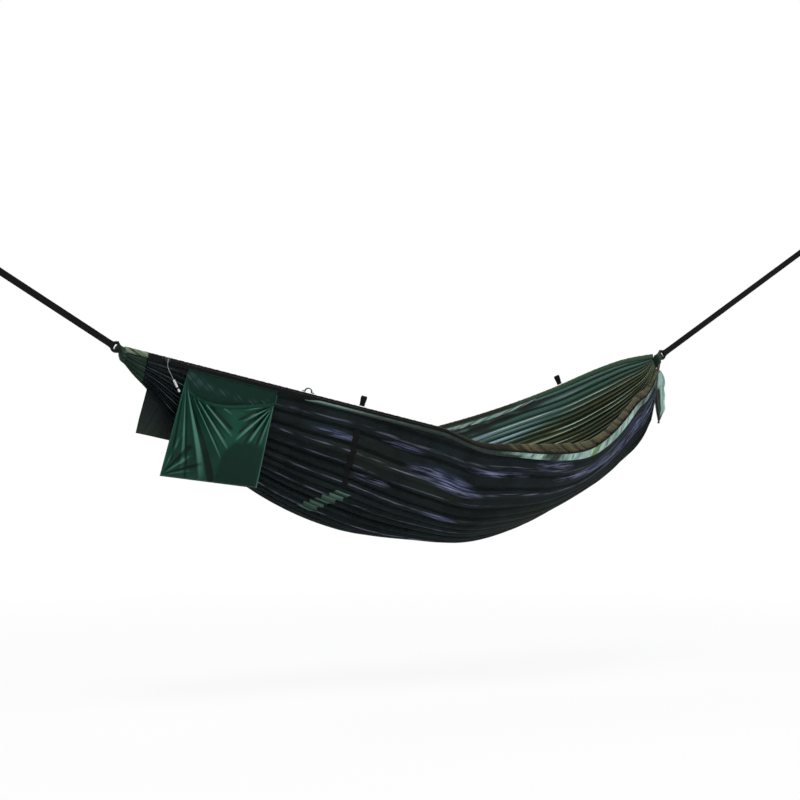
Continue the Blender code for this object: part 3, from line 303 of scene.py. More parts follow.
# Nylon taffeta, tightly woven: the deep green of the pocket, with painted near-black shade in its
# valleys and painted highlights on its satin ridges, a darker smooth part, and painted grey glints on the
# back panel.
POCKET_NYLON = ClothFinish(
    "nylon_taffeta_forest", "184436", "12362a", thread_mm=1.0, thread_depth=0.12, roughness=0.36, sheen=0.04,
    sheen_colour="a8e0c8", crease_mm=30, crease_depth=0.5, gloss=0.1,
    layers=(Layer(Mark.TONE, "0e2c23", 0.1, 0.9), Layer(Mark.BLOOM, "3f5658", 0.1, 0.9, 0.9),
            Layer(Mark.CREST, "081a14", 0.48, 0.34, 0.95), Layer(Mark.CREST, "4a7968", 0.6, 0.88, 0.85)))
# The same taffeta in a darker bottle green, for the end panels and gathers, with painted shade in
# its grooves and streaked painted highlights on its crests.
PANEL_NYLON = ClothFinish(
    "nylon_taffeta_bottle", "16291f", "1f3a2c", thread_mm=1.0, thread_depth=0.12, roughness=0.42, sheen=0.1,
    sheen_colour="8fb8a8", crease_mm=22, crease_depth=0.4,
    layers=(Layer(Mark.CREST, "0a120d", 0.45, 0.05, 0.9),
            Layer(Mark.CREST, "3d6450", 0.75, 1.0, 0.7, (60, 9))))
# The same again, faded to grey-green, for the stepped pleats, with painted shade at each louvre's foot
# and a painted highlight where it lifts.
PLEAT_NYLON = ClothFinish(
    "nylon_taffeta_sage", "42604f", "314a3e", thread_mm=1.0, thread_depth=0.12, roughness=0.45, sheen=0.05,
    crease_mm=14, crease_depth=0.4,
    layers=(Layer(Mark.CREST, "13201b", 0.4, 0.1, 0.95), Layer(Mark.CREST, "6f9183", 0.6, 1.0, 0.7)))
# Knitted polyester mosquito mesh: green-black and nearly opaque, with painted near-black shade in its
# folds, thin pale violet painted highlights on its crests and short violet patches of painted sheen
# where the knit turns to the light. Its holes are under 1 mm, too fine to show, so the knit is drawn at
# 2.4 mm and the holes are its alpha.
NET_MESH = ClothFinish(
    "polyester_mosquito_mesh", "171c1d", "20292a", thread_mm=2.4, thread_depth=0.06, roughness=0.5,
    sheen=0.03, sheen_colour="7f8fd0", gloss=0.04, crease_mm=60, crease_depth=0.2, alpha=0.95,
    layers=(Layer(Mark.TONE, "2a3329", 0.1, 1.0, 0.75), Layer(Mark.CREST, "060809", 0.4, 0.0, 0.9),
            Layer(Mark.CREST, "8f94ac", 0.86, 1.0, 0.8, (110, 5)),
            Layer(Mark.BLOOM, "4c5482", 0.15, 0.9, 0.55, (240, 16)),
            Layer(Mark.BLOOM, "a2a8d0", 0.2, 0.9, 0.8, (95, 5))))
# Thin calendered nylon: pale mint, almost shiny, with painted shade in its puckers, dark stretches and one
# of grass green.
BORDER_NYLON = ClothFinish(
    "calendered_nylon_mint", "b4d2c8", "93b8ad", thread_mm=1.0, thread_depth=0.1, roughness=0.4, sheen=0.2,
    sheen_colour="eafff8", crease_mm=16, crease_depth=0.5, gloss=0.25,
    layers=(Layer(Mark.CREST, "47665a", 0.45, 0.1, 0.8), Layer(Mark.TONE, "1d2a25", 0.0, 1.0),
            Layer(Mark.BLOOM, "5d8a45", 0.2, 0.8)))
# Nylon hem rolled twice and sewn: dusty khaki, bottle green on the far rim and sage at the near rim's left
# end, with painted shade in the short wrinkles that the stitches draw across it.
HEM_NYLON = ClothFinish(
    "rolled_nylon_khaki", "565138", "3c3a27", thread_mm=1.0, thread_depth=0.15, roughness=0.55, sheen=0.1,
    sheen_colour="c8c0a0", crease_mm=9, crease_depth=0.7,
    layers=(Layer(Mark.TONE, "2b4634", 0.2, 1.0, 0.9), Layer(Mark.CREST, "16160e", 0.5, 0.1, 0.9),
            Layer(Mark.BLOOM, "7f9073", 0.1, 0.9, 0.9)))
# Woven polyester zip tape: matt black with a fine, plain weave.
ZIP_TAPE = ClothFinish("woven_zip_tape", "0c0d0e", "131415", thread_mm=1.0, thread_depth=0.4, roughness=0.75,
                       sheen=0.05, gloss=0.1, crease_mm=14, crease_depth=0.25)
# Polyester webbing, woven flat in thick ribs: matt black, with a soft grey bloom at its edges.
WEBBING = ClothFinish("polyester_webbing", "0b0b0c", "141416", thread_mm=2.0, thread_depth=0.8, roughness=0.8,
                      sheen=0.05, sheen_colour="9a9aa0", gloss=0.1, crease_mm=30, crease_depth=0.15)
# Braided polyester cord: light grey, matt, with a cross-hatched braid.
BRAID = ClothFinish("braided_polyester_cord", "9a9d9b", "6f7371", thread_mm=1.1, thread_depth=0.8,
                    roughness=0.7, sheen=0.2, patch_mm=6, crease_mm=4, crease_depth=0.3)
# The same braid in black, for the channel cords.
BLACK_BRAID = ClothFinish("braided_polyester_cord_black", "0d0d0e", "17181a", thread_mm=1.4, thread_depth=0.8,
                          roughness=0.7, sheen=0.2, patch_mm=8, crease_mm=5, crease_depth=0.3)
# Polyester thread, sewn in rows of short stitches: dark, and a little glossier than the cloth under it.
THREAD = HardFinish("polyester_sewing_thread", "24282a", 0.5)
PALE_THREAD = HardFinish("polyester_sewing_thread_pale", "7f8a80", 0.5)
# Acetal moulded toggle, with black and white bands: smooth, with the soft gloss of moulded plastic.
PALE_TOGGLE = HardFinish("moulded_acetal_white", "d3d5d1", 0.38, grain_mm=1.5)
DARK_TOGGLE = HardFinish("moulded_acetal_black", "131415", 0.35, grain_mm=1.5)
# Nylon coil, moulded from one thread and sewn to the tape: black with a slight gloss on each turn.
COIL_NYLON = HardFinish("moulded_nylon_coil", "101112", 0.4)
# Die-cast zinc, painted dark and rubbed grey at its edges.
SLIDER_ZINC = HardFinish("diecast_zinc_painted", "3a3c3e", 0.4, metallic=0.8)


def unit(vectors: Array) -> Array:
    """Vectors brought to a length of one."""
    return vectors / np.linalg.norm(vectors, axis=-1, keepdims=True)


def ramp(places: Array, start: Array | float, reach: Array | float) -> Array:
    """Straight rise from 0 at the start to 1 a reach further on. A negative reach lies before the start."""
    return np.clip((places - start) / reach, 0, 1)


def ease(share: Array) -> Array:
    """Smooth step from 0 to 1: the share squared, times three less twice the share."""
    share = np.clip(share, 0, 1)
    return share**2 * (3 - 2 * share)


def along(rows: Rows, places: Array) -> Array:
    """Smooth curve through a table's rows that never swings past them.

    It is a cubic between each two rows, whose slope at a row is the mean of the slopes on both sides, but no
    more than three times the gentler one, and zero where the rows turn back.

    Args:
        rows: the table's rows, of a place and a value.
        places: where the curve is read.

    Returns:
        The curve's values there.
    """
    at, value = np.array(rows, float).T
    places = np.clip(np.asarray(places, float), at[0], at[-1])
    secant = np.diff(value) / np.diff(at)
    slope = np.concatenate([secant[:1], (secant[:-1] + secant[1:]) / 2, secant[-1:]])
    least = np.minimum(np.abs(secant[:-1]), np.abs(secant[1:]))
    inner = np.sign(slope[1:-1]) * np.minimum(np.abs(slope[1:-1]), 3 * least)
    slope[1:-1] = np.where(secant[:-1] * secant[1:] <= 0, 0.0, inner)
    k = np.clip(np.searchsorted(at, places, side="right") - 1, 0, len(at) - 2)
    length = at[k + 1] - at[k]
    u = (places - at[k]) / length
    start = (1 + 2 * u) * (1 - u) ** 2 * value[k] + u * (1 - u) ** 2 * length * slope[k]
    return start + u**2 * (3 - 2 * u) * value[k + 1] + u**2 * (u - 1) * length * slope[k + 1]


def spots(rows: Rows, shares: Array, across: Array) -> Array:
    """Soft patches on a sheet: the highest of several bells at each place.

    Args:
        rows: the table of spots.
        shares: places along the sheet.
        across: places across it.

    Returns:
        A value from 0 to 1, shares by across.
    """
    middle, level, reach, spread, strength = np.array(rows, float).T[:, :, None, None]
    far = ((shares[None, :, None] - middle) / reach) ** 2 + ((across[None, None, :] - level) / spread) ** 2
    return (strength * np.exp(-far)).max(axis=0)


def spaced(ends: tuple[float, float], count: int) -> Array:
    """Places from one end to the other, four times as close at the ends as even steps would be."""
    t = np.linspace(0, 1, count)
    return ends[0] + (ends[1] - ends[0]) * (0.25 * t + 0.75 * (1 - np.cos(np.pi * t)) / 2)


def waves(places: Array, counts: Sequence[float], phases: Sequence[float]) -> Array:
    """Sum of sines of uneven counts, scaled to stay within one, for wrinkles that don't repeat.

    Args:
        places: where it is read, with one wave of count one over a length of one.
        counts: how many waves each sine has over a length of one.
        phases: where each sine starts, as a share of a turn.

    Returns:
        A value from -1 to 1 at each place.
    """
    turns = (count * places + phase for count, phase in zip(counts, phases))
    return sum(np.sin(2 * np.pi * turn) for turn in turns) / len(counts)


def metres_along(points: Array, axis: int) -> Array:
    """Distance along each line of a grid, for a UV map in metres.

    Args:
        points: the grid's points, rows by columns by three.
        axis: 0 to measure down the columns, 1 along the rows.

    Returns:
        Distances, rows by columns, scaled so that all lines share the mean length.
    """
    steps = np.linalg.norm(np.diff(points, axis=axis), axis=-1).mean(axis=1 - axis)
    run = np.concatenate([[0.0], np.cumsum(steps)])
    return np.broadcast_to(run[:, None] if axis == 0 else run[None, :], points.shape[:2])


def quads(grid: Array) -> Array:
    """The four corners of each cell of a grid: along the row, then on to the next row and back."""
    corners = (grid[:-1, :-1], grid[:-1, 1:], grid[1:, 1:], grid[1:, :-1])
    return np.stack(corners, 2).reshape(-1, 4, *grid.shape[2:])


def finish_mesh(name: str, corners: Array, faces: Array, uv: Array, material: Material,
                caps: Array | None = None, closed: bool = False) -> Thing:
    """Put points, faces and a UV map into a new smooth object at the origin.

    Args:
        name: the piece's name.
        corners: the points.
        faces: four point numbers for each face.
        uv: a UV place in metres for each corner of each face.
        material: the piece's finish.
        caps: three point numbers for each face of the flat ends, which a sharp edge parts from the rest.
        closed: whether to turn the faces of a closed shape outwards, as is done with caps.

    Returns:
        The new object.
    """
    mesh = bpy.data.meshes.new(name)
    ends = [] if caps is None else caps.tolist()
    mesh.from_pydata(corners.tolist(), [], faces.tolist() + ends)
    places = np.zeros((faces.size + 3 * len(ends), 2), np.float32)
    places[:faces.size] = uv.reshape(-1, 2)
    mesh.uv_layers.new(name="UVMap").data.foreach_set("uv", places.ravel())
    if closed or ends:
        form = bmesh.new()
        form.from_mesh(mesh)
        bmesh.ops.recalc_face_normals(form, faces=form.faces)
        form.to_mesh(mesh)
        form.free()
    mesh.shade_smooth()
    if ends:
        mesh.set_sharp_from_angle(angle=np.radians(50))
    thing = bpy.data.objects.new(name, mesh)
    bpy.context.scene.collection.objects.link(thing)
    mesh.materials.append(material)
    log.info("%s: %d faces", name, len(mesh.polygons))
    return thing


def put_marks(thing: Thing, crest: Array | float, tone: Array | float = 0.0,
              bloom: Array | float = 0.0) -> None:
    """Store a piece's marks, which its finish reads. One at least fills the piece's grid, or all are plain.

    Args:
        thing: the piece.
        crest: 0 in a groove, 1 on a crest, for painted shade and painted highlights.
        tone: 0 to 1, the finish's second colour, which on the bed cloth is painted light.
        bloom: 0 to 1, painted sheen on some finishes and a patch of own colour on others.
    """
    given = np.stack(np.broadcast_arrays(crest, tone, bloom), -1).reshape(-1, 3)
    marks = np.zeros((len(thing.data.vertices), 3), np.float32)
    marks[:len(given) if len(given) > 1 else None] = np.clip(given, 0, 1)
    thing.data.attributes.new("marks", "FLOAT_VECTOR", "POINT").data.foreach_set("vector", marks.ravel())


def dress(piece: Thing, body: str, node: str | None = None) -> Thing:
    """Let a piece ride on a body and stand for a solid.

    Args:
        piece: the piece.
        body: the body that it moves with.
        node: the solid that it replaces, if any.

    Returns:
        The piece.
    """
    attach(piece, body)
    if node:
        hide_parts(node)
    return piece


def sheet_object(name: str, points: Array, thickness: float, material: Material) -> Thing:
    """Cloth on a grid of points, given its thickness on both sides.

    Args:
        name: the piece's name.
        points: rows by columns by three.
        thickness: the cloth's thickness.
        material: the piece's finish.

    Returns:
        The new object, with a Solidify modifier.
    """
    index = np.arange(points[..., 0].size).reshape(points.shape[:2])
    uv = np.stack([metres_along(points, 0), metres_along(points, 1)], -1)
    down_first = [0, 3, 2, 1]
    faces, uv = (quads(grid)[:, down_first] for grid in (index, uv))
    thing = finish_mesh(name, points.reshape(-1, 3), faces, uv, material)
    solid = thing.modifiers.new("thickness", "SOLIDIFY")
    solid.thickness = thickness
    solid.offset = 0.0
    return thing


def ring_object(name: str, rings: Array, material: Material, joined: bool = False) -> Thing:
    """A closed body through rings of points.

    Args:
        name: the piece's name.
        rings: stations by points round each ring by three.
        material: the piece's finish.
        joined: whether the last ring runs on into the first.

    Returns:
        The new object, closed by fans of triangles at both ends, or all round.
    """
    count, sides = rings.shape[:2]
    index = np.arange(count * sides).reshape(count, sides)
    index = np.concatenate([index, index[:, :1]], axis=1)
    whole = np.concatenate([rings, rings[:, :1]], axis=1)
    u, v = metres_along(whole, 0), metres_along(whole, 1)
    corners, caps = rings.reshape(-1, 3), None
    if joined:
        step = np.linalg.norm(rings[0] - rings[-1], axis=-1).mean()
        u, v = np.concatenate([u, u[-1:] + step]), np.concatenate([v, v[:1]])
        index = np.concatenate([index, index[:1]])
    else:
        corners = np.concatenate([corners, rings[[0, -1]].mean(axis=1)])
        caps = np.concatenate([
            np.stack([np.full(sides, count * sides + end), index[row, :-1], index[row, 1:]], -1)
            for end, row in ((0, 0), (1, -1))])
    return finish_mesh(name, corners, quads(index), quads(np.stack([u, v], -1)), material, caps, closed=True)


def swept(route: Array, profile: Array, across: Array, joined: bool = False) -> Array:
    """Rings of a flat or round profile carried along a route.

    Each ring is the profile drawn in the plane square to the route: its first number along the given across
    direction made square to the route, and its second along the product of the two.

    Args:
        route: the route's points.
        profile: the profile's points, two numbers each.
        across: one direction, or one for each point of the route.
        joined: whether the route's last point runs on into its first.

    Returns:
        Rings, stations by profile points by three.
    """
    step = np.roll(route, -1, axis=0) - np.roll(route, 1, axis=0) if joined else np.gradient(route, axis=0)
    heading = unit(step)
    across = np.broadcast_to(across, route.shape)
    across = unit(across - (across * heading).sum(axis=1, keepdims=True) * heading)
    other = np.cross(heading, across)
    return route[:, None] + profile[None, :, :1] * across[:, None] + profile[None, :, 1:] * other[:, None]


def circle(radius: float, sides: int) -> Array:
    """Points of a circle, two numbers each."""
    angles = np.linspace(0, 2 * np.pi, sides, endpoint=False)
    return radius * np.stack([np.cos(angles), np.sin(angles)], -1)


def stadium(width: float, thickness: float, sides: int = 16) -> Array:
    """Outline of a flat band with rounded edges: a superellipse of the fourth power."""
    round_points = circle(1.0, sides)
    return np.sign(round_points) * np.abs(round_points) ** 0.5 * (width / 2, thickness / 2)


def arc(centre: float, radius: float, first: float, last: float, count: int) -> Array:
    """Inner points of an arc about a centre on the first axis, between two angles given in half turns."""
    angles = np.pi * np.linspace(first, last, count)[1:-1]
    return np.stack([centre + radius * np.cos(angles), radius * np.sin(angles)], -1)


def stitch_row(name: str, line: Array, across: Array, stitch: float, width: float,
               material: Material) -> Thing:
    """A row of short sewn stitches: each is a low pointed bead along the line, with a gap after it.

    Args:
        name: the piece's name.
        line: points of the seam.
        across: the direction across the seam, in the cloth.
        stitch: one stitch's length with its gap.
        width: the thread's width.
        material: the thread's finish.

    Returns:
        The new object, one closed bead for each stitch.
    """
    run = np.concatenate([[0.0], np.cumsum(np.linalg.norm(np.diff(line, axis=0), axis=1))])
    count = max(int(run[-1] / stitch), 1)
    starts = (np.arange(count) + 0.15)[:, None] * stitch
    places = np.minimum(starts + np.linspace(0, 0.7, 4)[None, :] * stitch, run[-1])
    centres = np.stack([np.interp(places, run, line[:, k]) for k in range(3)], -1)
    heading = centres[:, -1] - centres[:, 0]
    heading /= np.maximum(np.linalg.norm(heading, axis=1, keepdims=True), 1e-9)
    across = np.broadcast_to(across, heading.shape)
    normal = np.cross(heading, across)
    fat = np.array([0.35, 1.0, 1.0, 0.35])[None, :, None, None] * width / 2
    x, y = circle(1.0, 4).T[:, None, None, :, None]
    rings = centres[:, :, None] + fat * (x * across[:, None, None] + y * normal[:, None, None])
    index = np.arange(count * 16).reshape(count, 4, 4)
    right = np.roll(index, -1, axis=2)
    walls = np.stack([index[:, :-1], right[:, :-1], right[:, 1:], index[:, 1:]], -1).reshape(-1, 4)
    faces = np.concatenate([walls, index[:, 0, ::-1], index[:, -1]])
    return finish_mesh(name, rings.reshape(-1, 3), faces, np.zeros((len(faces), 4, 2)), material, closed=True)


@dataclass
class Hammock:
    """The driving sizes and curves that every sub-assembly shares."""

    span: float = 2.48
    half_width: float = 0.29
    rim_drop: float = 0.388
    cloth_start: float = 0.030
    panel_length: float = 0.080
    right_panel_length: float = 0.032
    hang_angle: float = float(np.radians(30.5))
    rim_lean: float = float(np.radians(7.0))
    gap: float = 0.0003
    hem_width: float = 0.012
    hem_height: float = 0.022
    tape_thickness: float = 0.0024
    tape_height: float = 0.025
    tape_rise: float = 0.009
    near_out_shares: Rows = (
        (0, 0.03), (0.486, 0.90), (0.555, 0.965), (0.62, 1.0), (0.70, 0.96), (0.776, 0.83), (0.831, 0.69),
        (0.876, 0.52), (0.916, 0.35), (0.954, 0.2), (0.979, 0.1), (1, 0.03))
    near_drop_shares: Rows = (
        (0, 0), (0.486, 0.77), (0.555, 0.928), (0.62, 0.972), (0.70, 1.0), (0.776, 0.956), (0.831, 0.81),
        (0.876, 0.647), (0.916, 0.49), (0.954, 0.374), (0.979, 0.2), (1, 0))
    far_out_shares: Rows = (
        (0, 0.03), (0.05, 0.2), (0.12, 0.45), (0.2, 0.7), (0.3, 0.92), (0.4, 1.0), (0.514, 0.95),
        (0.653, 0.9), (0.744, 0.83), (0.83, 0.69), (0.911, 0.45), (0.946, 0.28), (1, 0.03))
    far_drop_shares: Rows = (
        (0, 0), (0.04, 0.2), (0.1, 0.46), (0.2, 0.8), (0.3, 0.97), (0.38, 1.0), (0.5, 0.93), (0.653, 0.732),
        (0.744, 0.575), (0.83, 0.384), (0.911, 0.157), (0.946, 0.07), (1, 0))

    def __post_init__(self) -> None:
        """Work out the shared places and directions."""
        self.left_panel_end = (self.cloth_start + self.panel_length) / self.span
        self.right_panel_end = 1 - (self.cloth_start + self.right_panel_length) / self.span
        self.cloth_ends = (self.cloth_start / self.span, 1 - self.cloth_start / self.span)
        self.net_out = self.hem_width / 2 + self.gap + self.tape_thickness / 2
        self.face_out = self.hem_width / 2 + self.gap + self.tape_thickness
        self.fall = np.array((0.0, np.sin(self.rim_lean), -np.cos(self.rim_lean)))

    def straight(self, rows: Rows, places: Array) -> Array:
        """The table's smooth curve, but dead straight between its first two rows.

        Args:
            rows: the table.
            places: where it is read.

        Returns:
            A value for each place.
        """
        (first, low), (second, high) = rows[0], rows[1]
        line = low + (high - low) * (places - first) / (second - first)
        return np.where(places <= second, line, along(rows, places))

    def rim(self, side: Side, shares: Array) -> Array:
        """Middle of a rim's hem.

        Args:
            side: the near or the far rim.
            shares: places along the span.

        Returns:
            A point for each place.
        """
        if side is Side.NEAR:
            curve, tables = self.straight, (self.near_out_shares, self.near_drop_shares)
        else:
            curve, tables = along, (self.far_out_shares, self.far_drop_shares)
        out, drop = (curve(rows, shares) for rows in tables)
        return np.stack([shares * self.span, side.value * self.half_width * out, -self.rim_drop * drop], -1)

    def beside(self, side: Side, shares: Array, out: Array | float, down: Array | float) -> Array:
        """Places beside a rim, by distances out and down from the middle of its hem.

        Down leans inwards by the rim's lean, and out is square to it, both square to the span.

        Args:
            side: the near or the far rim.
            shares: places along the span, as a column where the distances are a grid.
            out: distance outwards.
            down: distance downwards.

        Returns:
            A point for each place.
        """
        sine, cosine = np.sin(self.rim_lean), np.cos(self.rim_lean)
        out, down = (np.asarray(distance, float)[..., None] for distance in (out, down))
        return (self.rim(side, shares) + out * np.array((0.0, side.value * cosine, -sine))
                + down * np.array((0.0, -side.value * sine, -cosine)))

    def tape_axes(self) -> tuple[Array, Array, Array]:
        """Directions of the near rim's straight stretch.

        Returns:
            The directions along it, down its tape and out from it.
        """
        ends = self.rim(Side.NEAR, np.array((0.0, self.near_out_shares[1][0])))
        run = unit(ends[1] - ends[0])
        down = unit(self.fall - (self.fall @ run) * run)
        out = np.cross(down, run)
        return run, down, out * np.sign(-out[1])

    def tape_point(self, place: Array | float, down: Array | float, out: Array | float) -> Array:
        """A place on the near rim's straight stretch.

        Args:
            place: distance along it.
            down: distance down from the hem's middle.
            out: distance out from the tape's outer face.

        Returns:
            The point or points.
        """
        start = self.beside(Side.NEAR, np.zeros(1), self.face_out, 0.0)[0]
        return start + sum(np.asarray(distance, float)[..., None] * axis
                           for distance, axis in zip((place, down, out), self.tape_axes()))


@dataclass
class Trough:
    """Cloth that hangs between the two rims.

    Each section falls from the line between its edges by the depth times one less a power of the share of
    the way out, so that a higher power makes a fuller trough.
    """

    hammock: Hammock
    drop: float
    keel_shares: Rows
    power_shares: Rows
    fold: float
    fold_shares: Rows
    folds: float
    drift: float
    width: float
    pleats: float
    deepest: float
    steepest: float = 0.36
    pleat_shares: Rows = ((0, 1), (1, 1))

    def grid(self, shares: Array, cells: int, edges: Sequence[Array]) -> tuple[Array, Array, Array]:
        """Work out the cloth's points.

        Main folds run along the cloth and lean to the inside. The width that they leave over is taken up in
        pleats: a wave as deep as stretches the section to the cloth's flat width, so the pleats are deepest
        where the cloth is drawn together at its ends and fan out from there. They wander a little on the way.

        Args:
            shares: places along the span.
            cells: how many cells lie across the cloth.
            edges: the cloth's near and far edges.

        Returns:
            The points, the directions square to each section that point inside, and how far each place is
            pushed inside by its pleat, from 0 to 1.
        """
        across, place = np.linspace(0, 1, cells + 1)[None, :], shares[:, None]
        y, line = (edges[0][:, k, None] * (1 - across) + edges[1][:, k, None] * across for k in (1, 2))
        depth = line.mean(axis=1)[:, None] + self.drop * along(self.keel_shares, place)
        z = line - depth * (1 - np.abs(2 * across - 1) ** along(self.power_shares, place))
        slope_y, slope_z = np.gradient(y, axis=1), np.gradient(z, axis=1)
        inward = unit(np.stack([np.zeros_like(y), -slope_z, slope_y], -1))
        calm = np.sin(np.pi * across) ** 0.7
        phase = self.folds * across + self.drift * place
        push = self.fold / 2 * along(self.fold_shares, place) * calm * (np.sin(2 * np.pi * phase) + 1)
        arc_length = np.hypot(np.diff(y, axis=1), np.diff(z, axis=1)).sum(axis=1)[:, None]
        pitch = arc_length / self.pleats
        height = pitch / np.pi * np.sqrt(np.clip(self.width / arc_length - 1, 0, None))
        height = np.minimum(np.minimum(height, self.steepest * pitch), self.deepest)
        wandering = across + 0.006 * np.sin(23 * place) + 0.012 * np.sin(11 * across + 3)
        pleat = (np.sin(2 * np.pi * self.pleats * wandering)
                 + 0.4 * waves(wandering, (self.pleats * 1.73, self.pleats * 0.41), (0.1, 0.45)))
        push = push + height * along(self.pleat_shares, place) * calm**0.4 * (1 + pleat)
        x = np.broadcast_to(place * self.hammock.span, y.shape)
        return np.stack([x, y, z], -1) + push[..., None] * inward, inward, 0.5 + pleat / 2.6


@dataclass
class Bed:
    """The bed cloth and its two rolled hems."""

    hammock: Hammock
    drop: float = 0.56
    thickness: float = 0.0008
    keel_shares: Rows = (
        (0, 0.06), (0.012, 0.075), (0.05, 0.2), (0.12, 0.48), (0.25, 0.8), (0.4, 0.97), (0.52, 1.0),
        (0.65, 0.96), (0.78, 0.84), (0.88, 0.66), (0.95, 0.42), (0.975, 0.26), (0.988, 0.1), (1, 0.06))
    fold_shares: Rows = ((0, 0), (0.03, 0.1), (0.1, 0.6), (0.22, 1.0), (0.5, 0.4), (0.78, 1.0), (0.92, 0.6),
                         (0.97, 0.1), (1, 0))
    fold: float = 0.011
    hem_lap: float = 0.003
    roll: float = 0.022
    slump: float = 0.3
    roll_shares: Rows = ((0, 0), (0.5, 0), (0.62, 0.55), (0.7, 1.0), (0.78, 0.85), (0.86, 0.95), (0.94, 0.6),
                         (0.975, 0.1), (1, 0))
    shadows: Rows = (
        (0.56, 0.94, 0.07, 0.05, 1.0), (0.645, 0.947, 0.035, 0.03, 1.0), (0.69, 0.957, 0.035, 0.026, 1.0),
        (0.735, 0.966, 0.035, 0.02, 0.95), (0.785, 0.975, 0.04, 0.014, 0.85))
    facing_ends: tuple[float, float] = (0.5, 0.80)
    facing_height: float = 0.034
    stations: int = 160
    cells: int = 300
    flat: tuple[float, float] = (0.95, 2.7)

    def build(self) -> None:
        """Build the bed cloth, the hems and the facing inside the far rim.

        The cloth is painted from olive to teal across a slanting line, as light where its far half turns to
        the sky, with a painted sheen that fades towards the right and listed spots of painted shadow under
        the far rim's facing.
        """
        hammock = self.hammock
        shares = spaced(hammock.cloth_ends, self.stations)
        trough = Trough(hammock, self.drop, self.keel_shares, ((0, 2.0), (1, 2.0)), self.fold,
                        self.fold_shares, folds=5, drift=0, width=self.flat[0], pleats=34, deepest=self.fold)
        foot = hammock.hem_height / 2 - self.hem_lap
        edges = [hammock.beside(side, shares, 0, foot) for side in Side]
        points, _, crest = trough.grid(shares, self.cells, edges)
        cloth = sheet_object("bed_cloth_hung", points, self.thickness, BED_NYLON.make())
        place, across = shares[:, None], np.linspace(0, 1, self.cells + 1)[None, :]
        crest = crest + 0.16 * waves(across, (3.1, 7.7, 13.3), (0.9, 0.2, 0.5))
        # Painted light: teal where the far half turns to the sky, and a painted grey-blue sheen there at the
        # left.
        beyond = across - 0.82 - 0.45 * (place - 0.707)
        bloom = np.clip(0.4 + beyond / 0.05, 0, 1) * ramp(place, 0.9, -0.22)
        bloom = bloom * np.clip(0.45 + 0.8 * waves(across, (21, 34), (0.1, 0.6)), 0, 1)
        # Painted shadow: these spots paint the cloth near-black under the far rim's facing and take its sheen
        # away.
        lit = 1 - spots(self.shadows, shares, across[0])
        put_marks(cloth, crest * lit, 0.5 + beyond / 0.07 + 0.5 * (crest - 0.5), bloom * lit)
        finish = HEM_NYLON.make()
        hems = [self._hem(side, f"{side.name.lower()}_bed_hem", finish) for side in Side]
        facing = self._facing()
        dress(cloth, "hammock", "bed_cloth")

    def _hem(self, side: Side, node: str, material: Material) -> Thing:
        """A rolled hem: a soft roll whose size swells and pinches between its stitches.

        The near one grows into a taller roll at the right, whose upper half slumps inwards and is drawn into
        slanting wrinkles, with a painted shadow line along its fold.

        Args:
            side: the near or the far rim.
            node: the solid that it stands for.
            material: its finish.

        Returns:
            The new object.
        """
        hammock, near = self.hammock, side is Side.NEAR
        shares = np.linspace(*hammock.cloth_ends, 1100)[:, None]
        run = shares * hammock.span
        angles = np.linspace(0, 2 * np.pi, 20, endpoint=False) + 0.08 * waves(run, (23, 37), (0.2, 0.7))
        swell = 0.93 + 0.07 * waves(run, (31, 47, 74), (0.0, 0.3, 0.6))
        out, down = (np.sign(turn) * np.abs(turn) ** 0.7 * size / 2 * swell for turn, size in
                     ((np.cos(angles), hammock.hem_width), (np.sin(angles), hammock.hem_height)))
        roll = self.roll * along(self.roll_shares, shares) * near
        upper = np.clip(0.5 - down / hammock.hem_height, 0, 1) ** 0.6
        slant = run + 0.055 * upper + 0.012 * np.sin(9 * run)
        ruffle = waves(slant, (11, 19, 31), (0.0, 0.35, 0.7))
        out = out - roll * self.slump * upper + 0.16 * roll * ruffle * np.sin(np.pi * upper)
        down = down - roll * upper * (0.9 + 0.1 * ruffle)
        hem = ring_object(f"{node}_roll", hammock.beside(side, shares, out, down), material)
        # Painted highlights on the wrinkles, painted shade in them and along the roll's fold; each hem is
        # drawn dark left of where its wrinkles start.
        crest = 0.5 + 0.9 * waves(slant, (11, 19, 31), (0.1, 0.45, 0.8)) + 0.2 * waves(slant, (67,), (0.3,))
        line = 0.56 + 0.1 * waves(run, (2.3, 5.1), (0.2, 0.7))
        faint = 0.6 + 0.4 * waves(run, (4, 9), (0.5, 0.1))
        crest = crest - 0.9 * np.exp(-((upper - line) / 0.05) ** 2) * faint
        wrinkled = ramp(shares, 0.59 if near else 0.74, 0.05)
        crest = crest * wrinkled if near else np.clip(0.5 + 0.3 * crest * wrinkled, 0, 1) * wrinkled
        sage = ramp(shares, 0.08, -0.03) * np.clip(0.7 + 0.7 * waves(slant, (13, 29), (0.3, 0.8)), 0, 1)
        put_marks(hem, crest, not near, sage * near)
        return dress(hem, "hammock", node)

    def _facing(self) -> Thing:
        """The wrinkled facing inside the far rim: a pale strip, drawn darker above and below, with painted
        shade on its puckers.

        Returns:
            The new object.
        """
        hammock = self.hammock
        shares, down = np.linspace(*self.facing_ends, 400)[:, None], np.linspace(0, 1, 15)[None, :]
        height = self.facing_height * np.sin(np.pi * np.linspace(0, 1, shares.size))[:, None] ** 0.5
        pucker = (waves(shares * hammock.span + 0.12 * down, (6, 11, 23), (0.3, 0.6, 0.8))
                  * np.sin(np.pi * down) ** 0.8)
        out = -hammock.hem_width / 2 - 0.001 - 0.0015 * (1 + pucker)
        low = hammock.hem_height / 2 - 2 * self.hem_lap + height * down
        facing = sheet_object("far_rim_facing", hammock.beside(Side.FAR, shares, out, low), STRIP_PLY,
                              BORDER_NYLON.make())
        # Painted shade follows the puckers, and the strip is drawn darker above and below.
        dark = ramp(down, 0.6, 0.1) + ramp(down, 0.2, -0.06) + 0.3 + 0.9 * np.clip(pucker, 0, 1)
        put_marks(facing, 0.5 + 0.8 * pucker, dark)
        return dress(facing, "hammock")


